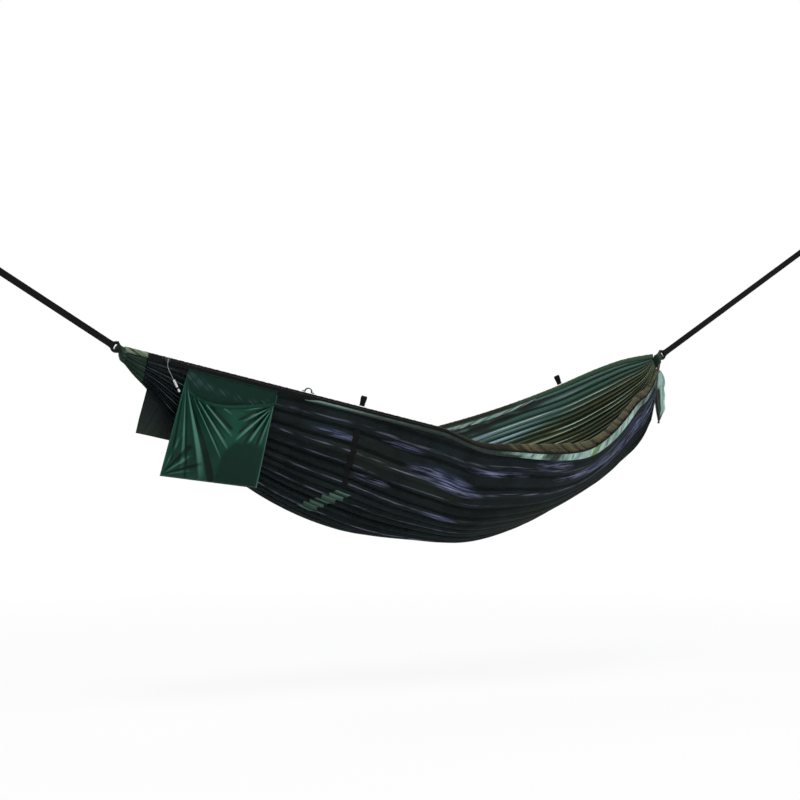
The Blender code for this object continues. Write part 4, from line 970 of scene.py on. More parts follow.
@dataclass
class Net:
    """The mosquito net, its end panels, its borders and what is sewn on it."""

    hammock: Hammock
    drop: float = 0.747
    thickness: float = 0.0006
    edge_inset: float = 0.0008
    tape_foot_shares: Rows = ((0, 0.64), (0.275, 0.64), (0.30, 0.24), (0.5, 0.24), (0.6, 0.36), (1, 0.36))
    tape_top_shares: Rows = ((0, -0.36), (0.45, -0.36), (0.58, 0.16), (1, 0.16))
    far_top_shares: Rows = ((0, -0.36), (1, -0.36))
    far_foot_shares: Rows = ((0, 0.4), (1, 0.4))
    border_shares: Rows = ((0, 0.09), (0.275, 0.09), (0.30, 0.41), (0.5, 0.41), (0.62, 0.6), (0.75, 0.8),
                           (0.87, 1.0), (0.95, 0.6), (1, 0.5))
    border_start: float = 0.275
    border_height: float = 0.034
    border_ply: float = 0.0009
    tape_end: float = 0.93
    far_border_height: float = 0.019
    keel_shares: Rows = (
        (0, 0.06), (0.012, 0.072), (0.03, 0.13), (0.055, 0.2), (0.12, 0.42), (0.244, 0.715), (0.379, 0.918),
        (0.5, 0.985), (0.568, 1.0), (0.68, 0.925), (0.784, 0.779), (0.898, 0.601), (0.967, 0.404),
        (0.981, 0.3), (0.988, 0.13), (1, 0.06))
    power_shares: Rows = ((0, 1.6), (0.35, 1.6), (0.55, 2.1), (1, 2.1))
    fold_shares: Rows = ((0, 0), (0.065, 0.1), (0.2, 0.9), (0.4, 1.0), (0.6, 0.6), (0.85, 0.5), (0.95, 0.1),
                         (1, 0))
    pleat_shares: Rows = ((0, 1), (0.42, 1), (0.6, 0.5), (0.8, 0.55), (0.93, 1), (1, 1))
    border_dark_shares: Rows = (
        (0.275, 0.6), (0.33, 0.6), (0.37, 0.85), (0.42, 0.93), (0.58, 1.0), (0.61, 0.75), (0.635, 0.3),
        (0.66, 0.35), (0.69, 0.95), (0.715, 0.6), (0.735, 0.1), (0.76, 0.25), (0.80, 0.1), (0.83, 0.5),
        (0.87, 0.0), (0.905, 0.15), (0.93, 0.8), (1, 1.0))
    painted_sheen_spots: Rows = (
        (0.5, 0.105, 0.055, 0.022, 0.8), (0.53, 0.125, 0.04, 0.014, 1.0), (0.59, 0.05, 0.06, 0.01, 0.8),
        (0.7, 0.02, 0.04, 0.02, 0.7), (0.745, 0.072, 0.04, 0.012, 0.8), (0.8, 0.07, 0.045, 0.02, 0.9),
        (0.86, 0.085, 0.045, 0.03, 0.8), (0.915, 0.085, 0.04, 0.04, 0.8), (0.955, 0.085, 0.03, 0.06, 0.8),
        (0.33, 0.076, 0.035, 0.012, 0.8), (0.515, 0.245, 0.03, 0.012, 0.8), (0.4, 0.19, 0.03, 0.012, 0.7),
        (0.44, 0.055, 0.04, 0.009, 0.6))
    tones: Rows = (
        (0.4, 0.12, 0.06, 0.05, 0.8), (0.5, 0.15, 0.08, 0.05, 0.6), (0.33, 0.1, 0.04, 0.03, 0.5),
        (0.7, 0.29, 0.11, 0.1, 0.9), (0.82, 0.3, 0.1, 0.13, 0.9))
    stations: int = 170
    cells: int = 280
    tab_place: float = 0.941
    band_width: float = 0.024
    band_across: tuple[float, float] = (0.0417, 0.25)
    patch_shares: tuple[float, float] = (0.314, 0.362)
    patch_across: tuple[float, float] = (0.437, 0.268)
    patch_width: float = 0.056
    patch_steps: int = 7
    lift: float = 0.0012
    louvre_lift: float = 0.0055
    seam: Rows = ((0.13144, 0.0219, -0.15077), (0.2852, 0.04617, -0.3037))
    flat: tuple[float, float] = (1.15, 2.4)
    left_panel_flat: tuple[float, float] = (0.19, 0.08)
    right_panel_flat: tuple[float, float] = (0.45, 0.035)

    def near_foot(self, shares: Array) -> tuple[Array, Array]:
        """How far down the near tape's foot lies, and the height of the border under it."""
        foot = self.hammock.tape_height * along(self.tape_foot_shares, shares) + self.hammock.gap
        return foot, self.border_height * along(self.border_shares, shares)

    def surface(self, shares: Array) -> tuple[Array, Array, Array]:
        """Work out the net, from the border's foot on the near side to the far border's.

        Args:
            shares: places along the span.

        Returns:
            Its points, its inward directions and how far its pleats push inside.
        """
        hammock = self.hammock
        foot, border = self.near_foot(shares)
        tops = (foot + np.where(shares >= self.border_start, border + hammock.gap, 0),
                self.far_border_height - hammock.tape_rise + hammock.gap)
        edges = [hammock.beside(side, shares, hammock.net_out, top + self.edge_inset)
                 for side, top in zip(Side, tops)]
        trough = Trough(hammock, self.drop, self.keel_shares, self.power_shares, fold=0.012,
                        fold_shares=self.fold_shares, folds=6, drift=0.35, width=self.flat[0], pleats=25,
                        deepest=0.006, pleat_shares=self.pleat_shares)
        return trough.grid(shares, self.cells, edges)

    def sample(self, shares: Array, across: Array, out: Array | float) -> Array:
        """Places on the net, or beside it.

        Args:
            shares: places along the span, as a grid.
            across: places across the net, as a grid of the same shape.
            out: distance outwards from the net.

        Returns:
            The points, each mixed from the four nearest points of the net's own grid.
        """
        line = np.linspace(shares.min(), shares.max(), 121)
        points, inward, _ = self.surface(line)
        row = (shares - line[0]) / (line[-1] - line[0]) * (len(line) - 1)
        column = across * self.cells
        i, j = np.clip(row.astype(int), 0, len(line) - 2), np.clip(column.astype(int), 0, self.cells - 1)
        f, g = (row - i)[..., None], (column - j)[..., None]
        place, away = ((grid[i, j] * (1 - f) + grid[i + 1, j] * f) * (1 - g)
                       + (grid[i, j + 1] * (1 - f) + grid[i + 1, j + 1] * f) * g for grid in (points, inward))
        return place - away * np.broadcast_to(out, shares.shape)[..., None]

    def build(self) -> None:
        """Build the net and everything sewn to it. Its marks are the same on both sides of the keel."""
        hammock = self.hammock
        inset = hammock.gap / hammock.span
        ends = (hammock.left_panel_end + inset, hammock.right_panel_end - inset)
        shares, across = spaced(ends, self.stations), np.linspace(0, 1, self.cells + 1)
        points, _, crest = self.surface(shares)
        finish = NET_MESH.make()
        net = sheet_object("mosquito_net_hung", points, self.thickness, finish)
        # The net's marks: painted shade and highlights on its folds, painted sheen at the listed spots, and
        # an olive tone at the tone spots.
        tone, bloom = (spots([*rows, *((row[0], 1 - row[1], *row[2:]) for row in rows)], shares, across)
                       for rows in (self.tones, self.painted_sheen_spots))
        inner = np.minimum(across, 1 - across)
        calm = 1 - 0.35 * ramp(shares[:, None], 0.56, 0.1) * ramp(inner, 0.13, 0.06)
        put_marks(net, 0.5 + (0.5 - crest) * calm, tone, bloom)
        seam = self._flap_seam(finish)
        black, pale = ZIP_TAPE.make(), BORDER_NYLON.make()
        tape = self._strip("near_zip_tape_band", Side.NEAR, (ends[0], self.tape_end),
                           (self.tape_top_shares, self.tape_foot_shares), black)
        far = self._strip("far_net_border_band", Side.FAR, ends,
                          (self.far_top_shares, self.far_foot_shares), black)
        border = self._border(np.linspace(self.border_start, ends[1], 600)[:, None], pale)
        band, patch = self._band(black), self._patch()
        for piece, slot, node in (
                (tape, "black_tape", "near_zip_tape"), (far, "black_tape", "far_net_border"),
                (border, "pale_green_nylon", "near_net_border"), (band, "black_tape", "net_tab_band"),
                (patch, "dark_green_nylon", "pleat_patch"), (seam, "black_mesh", None),
                (net, "black_mesh", "mosquito_net")):
            dress(piece, "hammock", node)
        self._panels()

    def _strip(self, name: str, side: Side, ends: tuple[float, float], tables: tuple[Rows, Rows],
               material: Material) -> Thing:
        """A flat strip on a hem's outer side, whose outer face ripples a little where it is sewn.

        Args:
            name: the piece's name.
            side: the near or the far rim.
            ends: its ends along the span.
            tables: its top and foot, as shares of the tape's height.
            material: its finish.

        Returns:
            The new object.
        """
        hammock = self.hammock
        shares = np.linspace(*ends, 500)[:, None]
        top, foot = (hammock.tape_height * along(rows, shares) for rows in tables)
        ripple = 0.0007 * (1 + waves(shares * hammock.span, (17, 29, 41), (0.0, 0.4, 0.8)))
        x, y = stadium(1.0, 1.0, 20).T
        out = hammock.net_out + hammock.tape_thickness * y + ripple * (y > 0)
        down = (top + foot) / 2 + (foot - top) * x
        return ring_object(name, hammock.beside(side, shares, out, down), material)

    def _border(self, shares: Array, material: Material) -> Thing:
        """The pale strip under the tape, which puckers into short upright wrinkles.

        Dark stretches follow their table, painted shade lies in the hollows of the puckers, and one green
        patch slants across the strip.

        Args:
            shares: places along the span, as a column.
            material: its finish.

        Returns:
            The new object.
        """
        hammock = self.hammock
        top, height = self.near_foot(shares)
        down = np.linspace(0, 1, 13)[None, :]
        x = shares * hammock.span
        pucker = waves(x + 0.012 * down, (19, 33, 57), (0.1, 0.5, 0.9)) * np.sin(np.pi * down) ** 0.8
        out = hammock.net_out + 0.0022 * pucker * height / 0.02
        points = hammock.beside(Side.NEAR, shares, out, top + height * down)
        border = sheet_object("near_net_border_strip", points, self.border_ply, material)
        lively = np.maximum(ramp(shares, 0.58, 0.08), 0.06)
        dark = (along(self.border_dark_shares, shares)
                + 0.4 * lively * waves(x + 0.03 * down, (7, 17), (0.2, 0.6))
                + (1 - lively) * np.clip((down - 0.5) / 0.2, 0, 0.6))
        green = np.exp(-((shares - 0.78 - 0.016 * (1 - down)) / 0.009) ** 2)
        # Painted shade in the puckers' hollows.
        put_marks(border, 0.6 + 0.9 * pucker * lively, dark, green)
        return border

    def _band(self, material: Material) -> Thing:
        """The dark band sewn down the net under the near tab.

        Args:
            material: its finish.

        Returns:
            The new object.
        """
        hammock = self.hammock
        middle = self.tab_place * hammock.tape_axes()[0][0] / hammock.span
        shares = middle + np.linspace(-0.5, 0.5, 9) * self.band_width / hammock.span
        place, level = np.meshgrid(shares, np.linspace(*self.band_across, 70), indexing="ij")
        return sheet_object("net_tab_band_strip", self.sample(place, level, self.lift), STRIP_PLY, material)

    def _patch(self) -> Thing:
        """The patch of stepped pleats: each step lifts like a louvre and starts further along than the last.

        Returns:
            The new object.
        """
        rise = np.linspace(0, 1, self.patch_steps * 12)[:, None] * self.patch_steps
        step = np.minimum(np.floor(rise), self.patch_steps - 1)
        part, across = rise - step, np.linspace(-0.5, 0.5, 25)[None, :]
        (first, last), (low, high) = self.patch_shares, self.patch_across
        middle = first + (last - first) * (step + 0.2 * part) / (self.patch_steps - 0.8)
        shares = middle + across * self.patch_width / self.hammock.span
        level = np.broadcast_to(low + (high - low) * rise / self.patch_steps, shares.shape)
        lift = self.lift + self.louvre_lift * part**1.5 * np.cos(np.pi * across) ** 0.3
        patch = sheet_object("pleat_patch_louvres", self.sample(shares, level, lift), STRIP_PLY,
                             PLEAT_NYLON.make())
        # Painted shade at each louvre's foot and a painted highlight at its lifted edge.
        put_marks(patch, np.broadcast_to(part, shares.shape))
        return patch

    def _flap_seam(self, material: Material) -> Thing:
        """The strip that joins the net's keel to the straight seam from which the left flap hangs.

        Args:
            material: its finish.

        Returns:
            The new object.
        """
        first, last = np.array(self.seam)
        points, _, _ = self.surface(np.linspace(first[0], last[0], 61) / self.hammock.span)
        keel = np.take_along_axis(points, points[..., 2].argmin(axis=1)[:, None, None], 1) + 0.004 * UP
        line = (first + (last - first) * np.linspace(0, 1, len(points))[:, None])[:, None]
        fall = np.linspace(0, 1, 9)[None, :, None]
        strip = sheet_object("left_flap_seam", keel * (1 - fall) + line * fall, THIN_PLY, material)
        put_marks(strip, 0.5)
        return strip

    def _panels(self) -> None:
        """The green end panels between the net and the gathers."""
        hammock, finish = self.hammock, PANEL_NYLON.make()
        for side, first, last, flat in (
                ("left", hammock.cloth_ends[0], hammock.left_panel_end, self.left_panel_flat),
                ("right", hammock.right_panel_end, hammock.cloth_ends[1], self.right_panel_flat)):
            shares = np.linspace(first, last, 40)
            trough = Trough(hammock, self.drop, self.keel_shares, self.power_shares, fold=0.003,
                            fold_shares=((0, 1), (1, 1)), folds=9, drift=0.5, width=flat[0], pleats=17,
                            deepest=0.0015)
            edges = [hammock.beside(rim, shares, 0.0038, hammock.hem_height / 2) for rim in Side]
            points, _, crest = trough.grid(shares, 150, edges)
            panel = sheet_object(f"{side}_end_panel_hung", points, self.thickness, finish)
            # Painted shade in the pleats' grooves and painted highlights on their crests.
            put_marks(panel, 1 - crest)
            dress(panel, "hammock", f"{side}_end_panel")


@dataclass
class Ends:
    """The bunched cloth at both ends and the channel cords that come out of it."""

    hammock: Hammock
    start: float = 0.0135
    pleats: int = 13
    lobe_share: float = 0.10
    width: float = 0.027
    height: float = 0.033
    sink: float = 0.022
    place_shares: tuple[float, ...] = (-1.0, -0.65, -0.33, -0.26, 0, 0.18, 0.52, 1)
    width_shares: tuple[float, ...] = (0.16, 0.2, 0.3, 0.34, 0.45, 0.52, 0.89, 1)
    height_shares: tuple[float, ...] = (0.17, 0.27, 0.42, 0.52, 0.58, 0.64, 0.84, 0.88)
    sink_shares: tuple[float, ...] = (0.27, 0.2, 0.18, 0.1, 0.08, 0.45, 1.05, 1.22)
    cord_arc: float = 0.018
    cord_radius: float = 0.003

    def build(self) -> None:
        """Build both gathers and both channel cords."""
        cloth, cord = PANEL_NYLON.make(), BLACK_BRAID.make()
        for hang, origin in ((Hang.LEFT, 0.0), (Hang.RIGHT, self.hammock.span)):
            self._gather(hang, origin, cloth)
            self._cord(hang, origin, cord)

    def _gather(self, hang: Hang, origin: float, material: Material) -> None:
        """Bunched cloth: an ellipse whose radius is lobed by pleats that twist a little along it.

        Its tip narrows inside the channel cord's loop, where the cloth's own end stands out of the channel.

        Args:
            hang: which end.
            origin: the hang point's place along the span.
            material: its finish.
        """
        side = hang.name.lower()
        places = np.linspace(self.place_shares[0], 1, 60)[:, None]
        width, height, sink = (np.interp(places, self.place_shares, shares)
                               for shares in (self.width_shares, self.height_shares, self.sink_shares))
        angles = np.linspace(0, 2 * np.pi, 130, endpoint=False)
        ripple = ((np.sin(self.pleats * angles + 0.5 * places) - 1) / 2
                  + np.sin(2.3 * self.pleats * angles) / 5)
        lobes = 1 + self.lobe_share * ripple
        length = self.hammock.cloth_start - self.hammock.gap - self.start
        x = np.broadcast_to(origin + hang.value * (self.start + length * places), lobes.shape)
        y = self.width * width * lobes * np.cos(angles)
        z = self.height * height * lobes * np.sin(angles) - self.sink * sink
        gather = ring_object(f"{side}_gather_bunch", np.stack([x, y, z], -1), material)
        # Painted highlights on the lobes, painted shade between them, and darker towards the tip.
        put_marks(gather, (0.5 + (lobes - lobes.mean()) / self.lobe_share) * ramp(places, -0.2, 0.8))
        dress(gather, "hammock", f"{side}_gather")

    def _cord(self, hang: Hang, origin: float, material: Material) -> None:
        """A channel cord: two turns, one in the other, each a half circle about the hang point with two legs.

        Args:
            hang: which end.
            origin: the hang point's place along the span.
            material: its finish.
        """
        cord = f"{hang.name.lower()}_channel_cord"
        turn, leg = np.linspace(np.pi / 2, 3 * np.pi / 2, 40), self.start - self.hammock.gap
        for name, radius, node in ((f"{cord}_braid", self.cord_arc, cord),
                                   (f"{cord}_inner_turn", self.cord_arc - 2 * self.cord_radius, None)):
            places = np.concatenate([[leg], radius * np.cos(turn), [leg]])
            heights = np.concatenate([[radius], radius * np.sin(turn), [-radius]])
            route = np.stack([origin + hang.value * places, np.zeros_like(places), heights], -1)
            piece = ring_object(name, swept(route, circle(self.cord_radius, 12), ALONG_Y), material)
            dress(piece, "hammock", node)


@dataclass
class Strap:
    """A suspension strap: an eye round the channel cord, a sewn lap, the run and a sewn end loop."""

    hammock: Hammock
    hang: Hang
    length: float
    width: float = 0.025
    ply: float = 0.002
    eye_start: float = 0.0055
    eye_length: float = 0.024
    eye_half_gap: float = 0.0045
    stitch_length: float = 0.045
    loop_length: float = 0.070
    loop_half_gap: float = 0.010

    def build(self) -> None:
        """Build the strap from two plies that part at both loops, and sew its laps."""
        hammock, side = self.hammock, self.hang.name.lower()
        origin = np.array((0.0 if self.hang is Hang.LEFT else hammock.span, 0.0, 0.0))
        run = np.array((-self.hang.value * np.cos(hammock.hang_angle), 0.0, np.sin(hammock.hang_angle)))
        flat = np.cross(run, ALONG_Y)
        route = self._loop_line()
        line = origin + route[:, :1] * run + route[:, 1:] * ALONG_Y
        rings = swept(line, stadium(self.width, self.ply, 20), flat, joined=True)
        strap = ring_object(f"{side}_strap_webbing", rings, WEBBING.make(), joined=True)
        dress(strap, f"{side}_strap", f"{side}_suspension_strap")
        sewn = self._stitches(side, origin, run, flat)

    def _loop_line(self) -> Array:
        """Middle line of the webbing, which goes out on one side and comes back on the other.

        The two sides lie half a ply from the middle along the run, and part to the half gap at each loop
        over a smooth step, with a half circle at each bight.

        Returns:
            Places along the strap and to its side, two numbers each.
        """
        wide_eye, wide_loop = self.eye_half_gap + self.ply / 2, self.loop_half_gap + self.ply / 2
        eye_centre = self.eye_start + self.ply / 2 + wide_eye
        loop_centre = self.length - self.ply / 2 - wide_loop
        rise, fall = self.eye_length - wide_eye, self.loop_length - wide_loop
        places = np.concatenate([np.linspace(eye_centre, eye_centre + rise, 16),
                                 np.linspace(eye_centre + rise, loop_centre - fall, 60)[1:],
                                 np.linspace(loop_centre - fall, loop_centre, 24)[1:]])
        eye_part = ease(1 - (places - eye_centre) / rise)
        loop_part = ease(1 - (loop_centre - places) / fall / 0.6)
        closed = self.ply / 2 + self.hammock.gap / 2
        offset = closed + (wide_eye - closed) * eye_part + (wide_loop - closed) * loop_part
        upper = np.stack([places, offset], -1)
        return np.concatenate([upper, arc(loop_centre, wide_loop, 0.5, -0.5, 18), upper[::-1] * (1, -1),
                               arc(eye_centre, wide_eye, -0.5, -1.5, 14)])

    def _stitches(self, side: str, origin: Array, run: Array, flat: Array) -> list[Thing]:
        """Boxes of stitches with a cross in each, on both faces of both laps.

        Args:
            side: which end, for the names.
            origin: the hang point.
            run: the strap's direction.
            flat: the direction across its face.

        Returns:
            The new objects.
        """
        eye_end = self.eye_start + self.ply + self.eye_length
        loop_start = self.length - self.ply - self.loop_length - self.stitch_length
        half, lift = self.width * 0.36, self.ply + self.hammock.gap / 2 + 0.0001
        sewn = []
        for lap, first in (("eye", eye_end + 0.003), ("loop", loop_start + 0.003)):
            last = first + self.stitch_length * 0.8
            corners = ((first, -half), (last, -half), (last, half), (first, half), (first, -half),
                       (last, half))
            for face in Side:
                line = [origin + place * run + across * flat + face.value * lift * ALONG_Y
                        for place, across in corners]
                dense = np.concatenate([np.linspace(a, b, 20) for a, b in zip(line[:-1], line[1:])])
                row = stitch_row(f"{side}_{lap}_stitches_{face.name.lower()}", dense, ALONG_Y, stitch=0.004,
                                 width=0.0009, material=THREAD.make())
                sewn.append(dress(row, f"{side}_strap"))
        return sewn


@dataclass
class Tabs:
    """The two folded tabs and the arched loop on the rims."""

    hammock: Hammock
    width: float = 0.020
    height: float = 0.038
    ply: float = 0.0015
    stub: float = 0.006
    half_gap: float = 0.0065
    near_place: float = 0.941
    far_share: float = 0.845
    arch_place: float = 0.727
    arch_length: float = 0.044
    arch_foot: float = 0.009
    arch_height: float = 0.0135
    arch_width: float = 0.011
    arch_ply: float = 0.0038

    def build(self) -> None:
        """Build the near tab, the far tab and the arched loop."""
        hammock, material = self.hammock, WEBBING.make()
        run, down, out = hammock.tape_axes()
        lift = hammock.hem_height / 2 * (hammock.fall @ down) + hammock.gap + self.ply
        base = hammock.tape_point(self.near_place, -lift, -hammock.face_out)
        self._tab("near_tab", base, (-down, out, run), material)
        ends = hammock.rim(Side.FAR, self.far_share + np.array((-0.5, 0.5)) * self.width / hammock.span)
        far_run = unit(ends[1] - ends[0])
        far_out = unit(np.cross(far_run, UP))
        far_up = np.cross(far_out, far_run)
        low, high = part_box("far_tab")
        base = np.array((low + high) / 2) - far_up * (self.height - self.ply) / 2
        self._tab("far_tab", base, (far_up, far_out, far_run), material)
        self._arch(run, -down, out, material)

    def _tab(self, node: str, base: Array, axes: tuple[Array, Array, Array], material: Material) -> None:
        """A folded tab: one webbing line that rises, opens, turns over the top and comes back.

        Args:
            node: the solid that it stands for.
            base: the middle of its foot.
            axes: the directions up, to its face, and along the rim.
            material: its finish.
        """
        up, face, run = axes
        closed, wide = self.ply / 2 + self.hammock.gap / 2, self.half_gap + self.ply / 2
        centre = self.height - self.ply / 2 - wide
        places = np.linspace(-self.ply * 0.5, centre, 26)
        opening = ease((places - self.stub) / (centre - self.stub))
        upper = np.stack([places, closed + (wide - closed) * opening], -1)
        line = np.concatenate([upper, arc(centre, wide, 0.5, -0.5, 16), upper[::-1] * (1, -1)])
        rings = swept(base + line[:, :1] * up + line[:, 1:] * face, stadium(self.width, self.ply, 18), run)
        dress(ring_object(f"{node}_webbing", rings, material), f"{node}_body", node)

    def _arch(self, run: Array, up: Array, out: Array, material: Material) -> None:
        """The arched loop: flat feet, sewn down, and a bow between them that rises as a power of a sine.

        Args:
            run: the direction along the rim.
            up: the direction up from the hem.
            out: the direction across it.
            material: its finish.
        """
        hammock = self.hammock
        reach = self.arch_length / 2 - self.arch_foot
        angles = np.linspace(0, np.pi, 40)
        x = np.concatenate([[-self.arch_length / 2], -reach * np.cos(angles), [self.arch_length / 2]])
        z = np.concatenate([[0.0], self.arch_height * np.sin(angles) ** 0.8, [0.0]])
        base = hammock.tape_point(self.arch_place, -hammock.hem_height / 2 - hammock.gap, -hammock.face_out)
        points = base + x[:, None] * run + (z + self.arch_ply / 2)[:, None] * up
        rings = swept(points, stadium(self.arch_width, self.arch_ply), out)
        arch = ring_object("near_arch_loop_webbing", rings, material)
        dress(arch, "hammock", "near_arch_loop")


@dataclass
class Zip:
    """The coil, its slider, and the pull that hangs on the slider's bail."""

    hammock: Hammock
    slider_place: float = 0.186
    coil_start: float = 0.170
    coil_end: float = 1.235
    coil_down: float = -0.002
    coil_height: float = 0.003
    coil_pitch: float = 0.0018
    coil_wire: float = 0.00035
    coil_swing: float = 0.00045
    bail_reach: float = 0.0117
    bail_radius: float = 0.0011
    loop_radius: float = 0.0042
    cord_radius: float = 0.00125
    knot_radius: float = 0.003
    toggle_length: float = 0.048
    toggle_radius: float = 0.0042
    route: Rows = ((0.0, 0.0), (0.001, 0.014), (0.006, 0.028), (0.014, 0.044), (0.022, 0.060))

    def build(self) -> None:
        """Build the coil and the pull, and give the slider, its bail and the end stop their zinc finish."""
        self._coil()
        metal = SLIDER_ZINC.make()
        for node in ("zip_slider", "slider_bail", "zip_end_stop"):
            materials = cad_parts[node].data.materials
            materials.clear()
            materials.append(metal)
        self._pull()

    def _coil(self) -> None:
        """The coil: a flattened helix whose turns lie a pitch apart along the tape."""
        hammock, wire = self.hammock, self.coil_wire
        turns = int((self.coil_end - self.coil_start) / self.coil_pitch)
        phase = np.linspace(0, turns, turns * 8 + 1)
        down = self.coil_down + (self.coil_height / 2 - wire) * np.cos(2 * np.pi * phase)
        out = hammock.gap + wire + self.coil_swing * (1 + np.sin(2 * np.pi * phase))
        route = hammock.tape_point(self.coil_start + phase * self.coil_pitch, down, out)
        rings = swept(route, circle(wire, 5), hammock.tape_axes()[0])
        coil = ring_object("near_zip_coil_turns", rings, COIL_NYLON.make())
        dress(coil, "hammock", "near_zip_coil")

    def _pull(self) -> None:
        """The pull: a cord loop round the bail, a knot, the cord and a ribbed toggle on its end."""
        hammock, braid = self.hammock, BRAID.make()
        run, _, _ = hammock.tape_axes()
        axis = hammock.tape_point(self.slider_place, self.coil_down, self.bail_reach)
        hang = unit(-UP - (-UP @ run) * run)
        centre = axis + hang * (self.loop_radius - self.cord_radius - self.bail_radius - hammock.gap)
        turn = np.linspace(0, 2 * np.pi, 48, endpoint=False)[:, None]
        outward = np.cos(turn) * hang + np.sin(turn) * np.cross(run, hang)
        profile = circle(self.cord_radius, 12)
        rings = swept(centre + self.loop_radius * outward, profile, outward, joined=True)
        loop = ring_object("pull_loop_cord", rings, braid, joined=True)
        knot_place = centre + hang * (self.loop_radius + self.knot_radius)
        knot = self._knot(knot_place, braid)
        level = unit(run - (run @ UP) * UP)
        start = knot_place - UP * (self.knot_radius + hammock.gap)
        places = np.linspace(0, len(self.route) - 1, 40)
        aside, drop = (along(list(enumerate(values)), places)[:, None] for values in zip(*self.route))
        path = start + level * aside - UP * drop
        cord = ring_object("pull_cord_braid", swept(path, profile, ALONG_Y), braid)
        end = unit(path[-1] - path[-2])
        toggles = self._toggle(path[-1] + end * hammock.gap, end)
        nodes = {loop: "pull_loop", cord: "pull_cord", toggles[0]: "pull_toggle"}
        for piece in (loop, knot, cord, *toggles):
            dress(piece, "pull", nodes.get(piece))

    def _knot(self, place: Array, material: Material) -> Thing:
        """An overhand knot: a trefoil line of cord drawn tight.

        The line's distance from the middle is two plus the cosine of three turns, over three, and it winds
        twice round while it weaves through itself.

        Args:
            place: the knot's middle.
            material: its finish.

        Returns:
            The new object.
        """
        t = np.linspace(0, 2 * np.pi, 90, endpoint=False)
        reach = 2 + np.cos(3 * t)
        line = np.stack([reach * np.cos(2 * t), reach * np.sin(2 * t), 1.6 * np.sin(3 * t)], -1)
        line = line * self.knot_radius * 0.75 / 3
        rings = place + swept(line, circle(self.cord_radius, 10), line, joined=True)
        return ring_object("pull_knot_cord", rings, material, joined=True)

    def _toggle(self, top: Array, heading: Array) -> list[Thing]:
        """The toggle: pale and dark turned bands, each a short barrel with rounded edges.

        Args:
            top: where the cord goes in.
            heading: the toggle's direction.

        Returns:
            The new objects, the longest first.
        """
        side = unit(np.cross(heading, ALONG_Y))
        pale, dark = PALE_TOGGLE.make(), DARK_TOGGLE.make()
        x, y = circle(1.0, 20).T[:, :, None]
        around = x * side + y * np.cross(heading, side)
        u = np.linspace(0, 1, 30)
        made = []
        for name, first, last, material, fat in (
                ("grip", 0.0, 0.62, pale, 1.0), ("collar", 0.63, 0.74, dark, 1.0),
                ("tip", 0.75, 1.0, pale, 0.92)):
            place = (first + (last - first) * u) * self.toggle_length
            edge = np.clip(np.minimum(u, 1 - u) * (last - first) * self.toggle_length / 0.0015, 0, 1)
            rib = 1 - 0.06 * np.cos(2 * np.pi * place / 0.004) ** 2
            radius = self.toggle_radius * fat * rib * (0.55 + 0.45 * np.sqrt(1 - (1 - edge) ** 2))
            rings = (top + place[:, None] * heading)[:, None] + radius[:, None, None] * around
            made.append(ring_object(f"pull_toggle_{name}", rings, material))
        return made


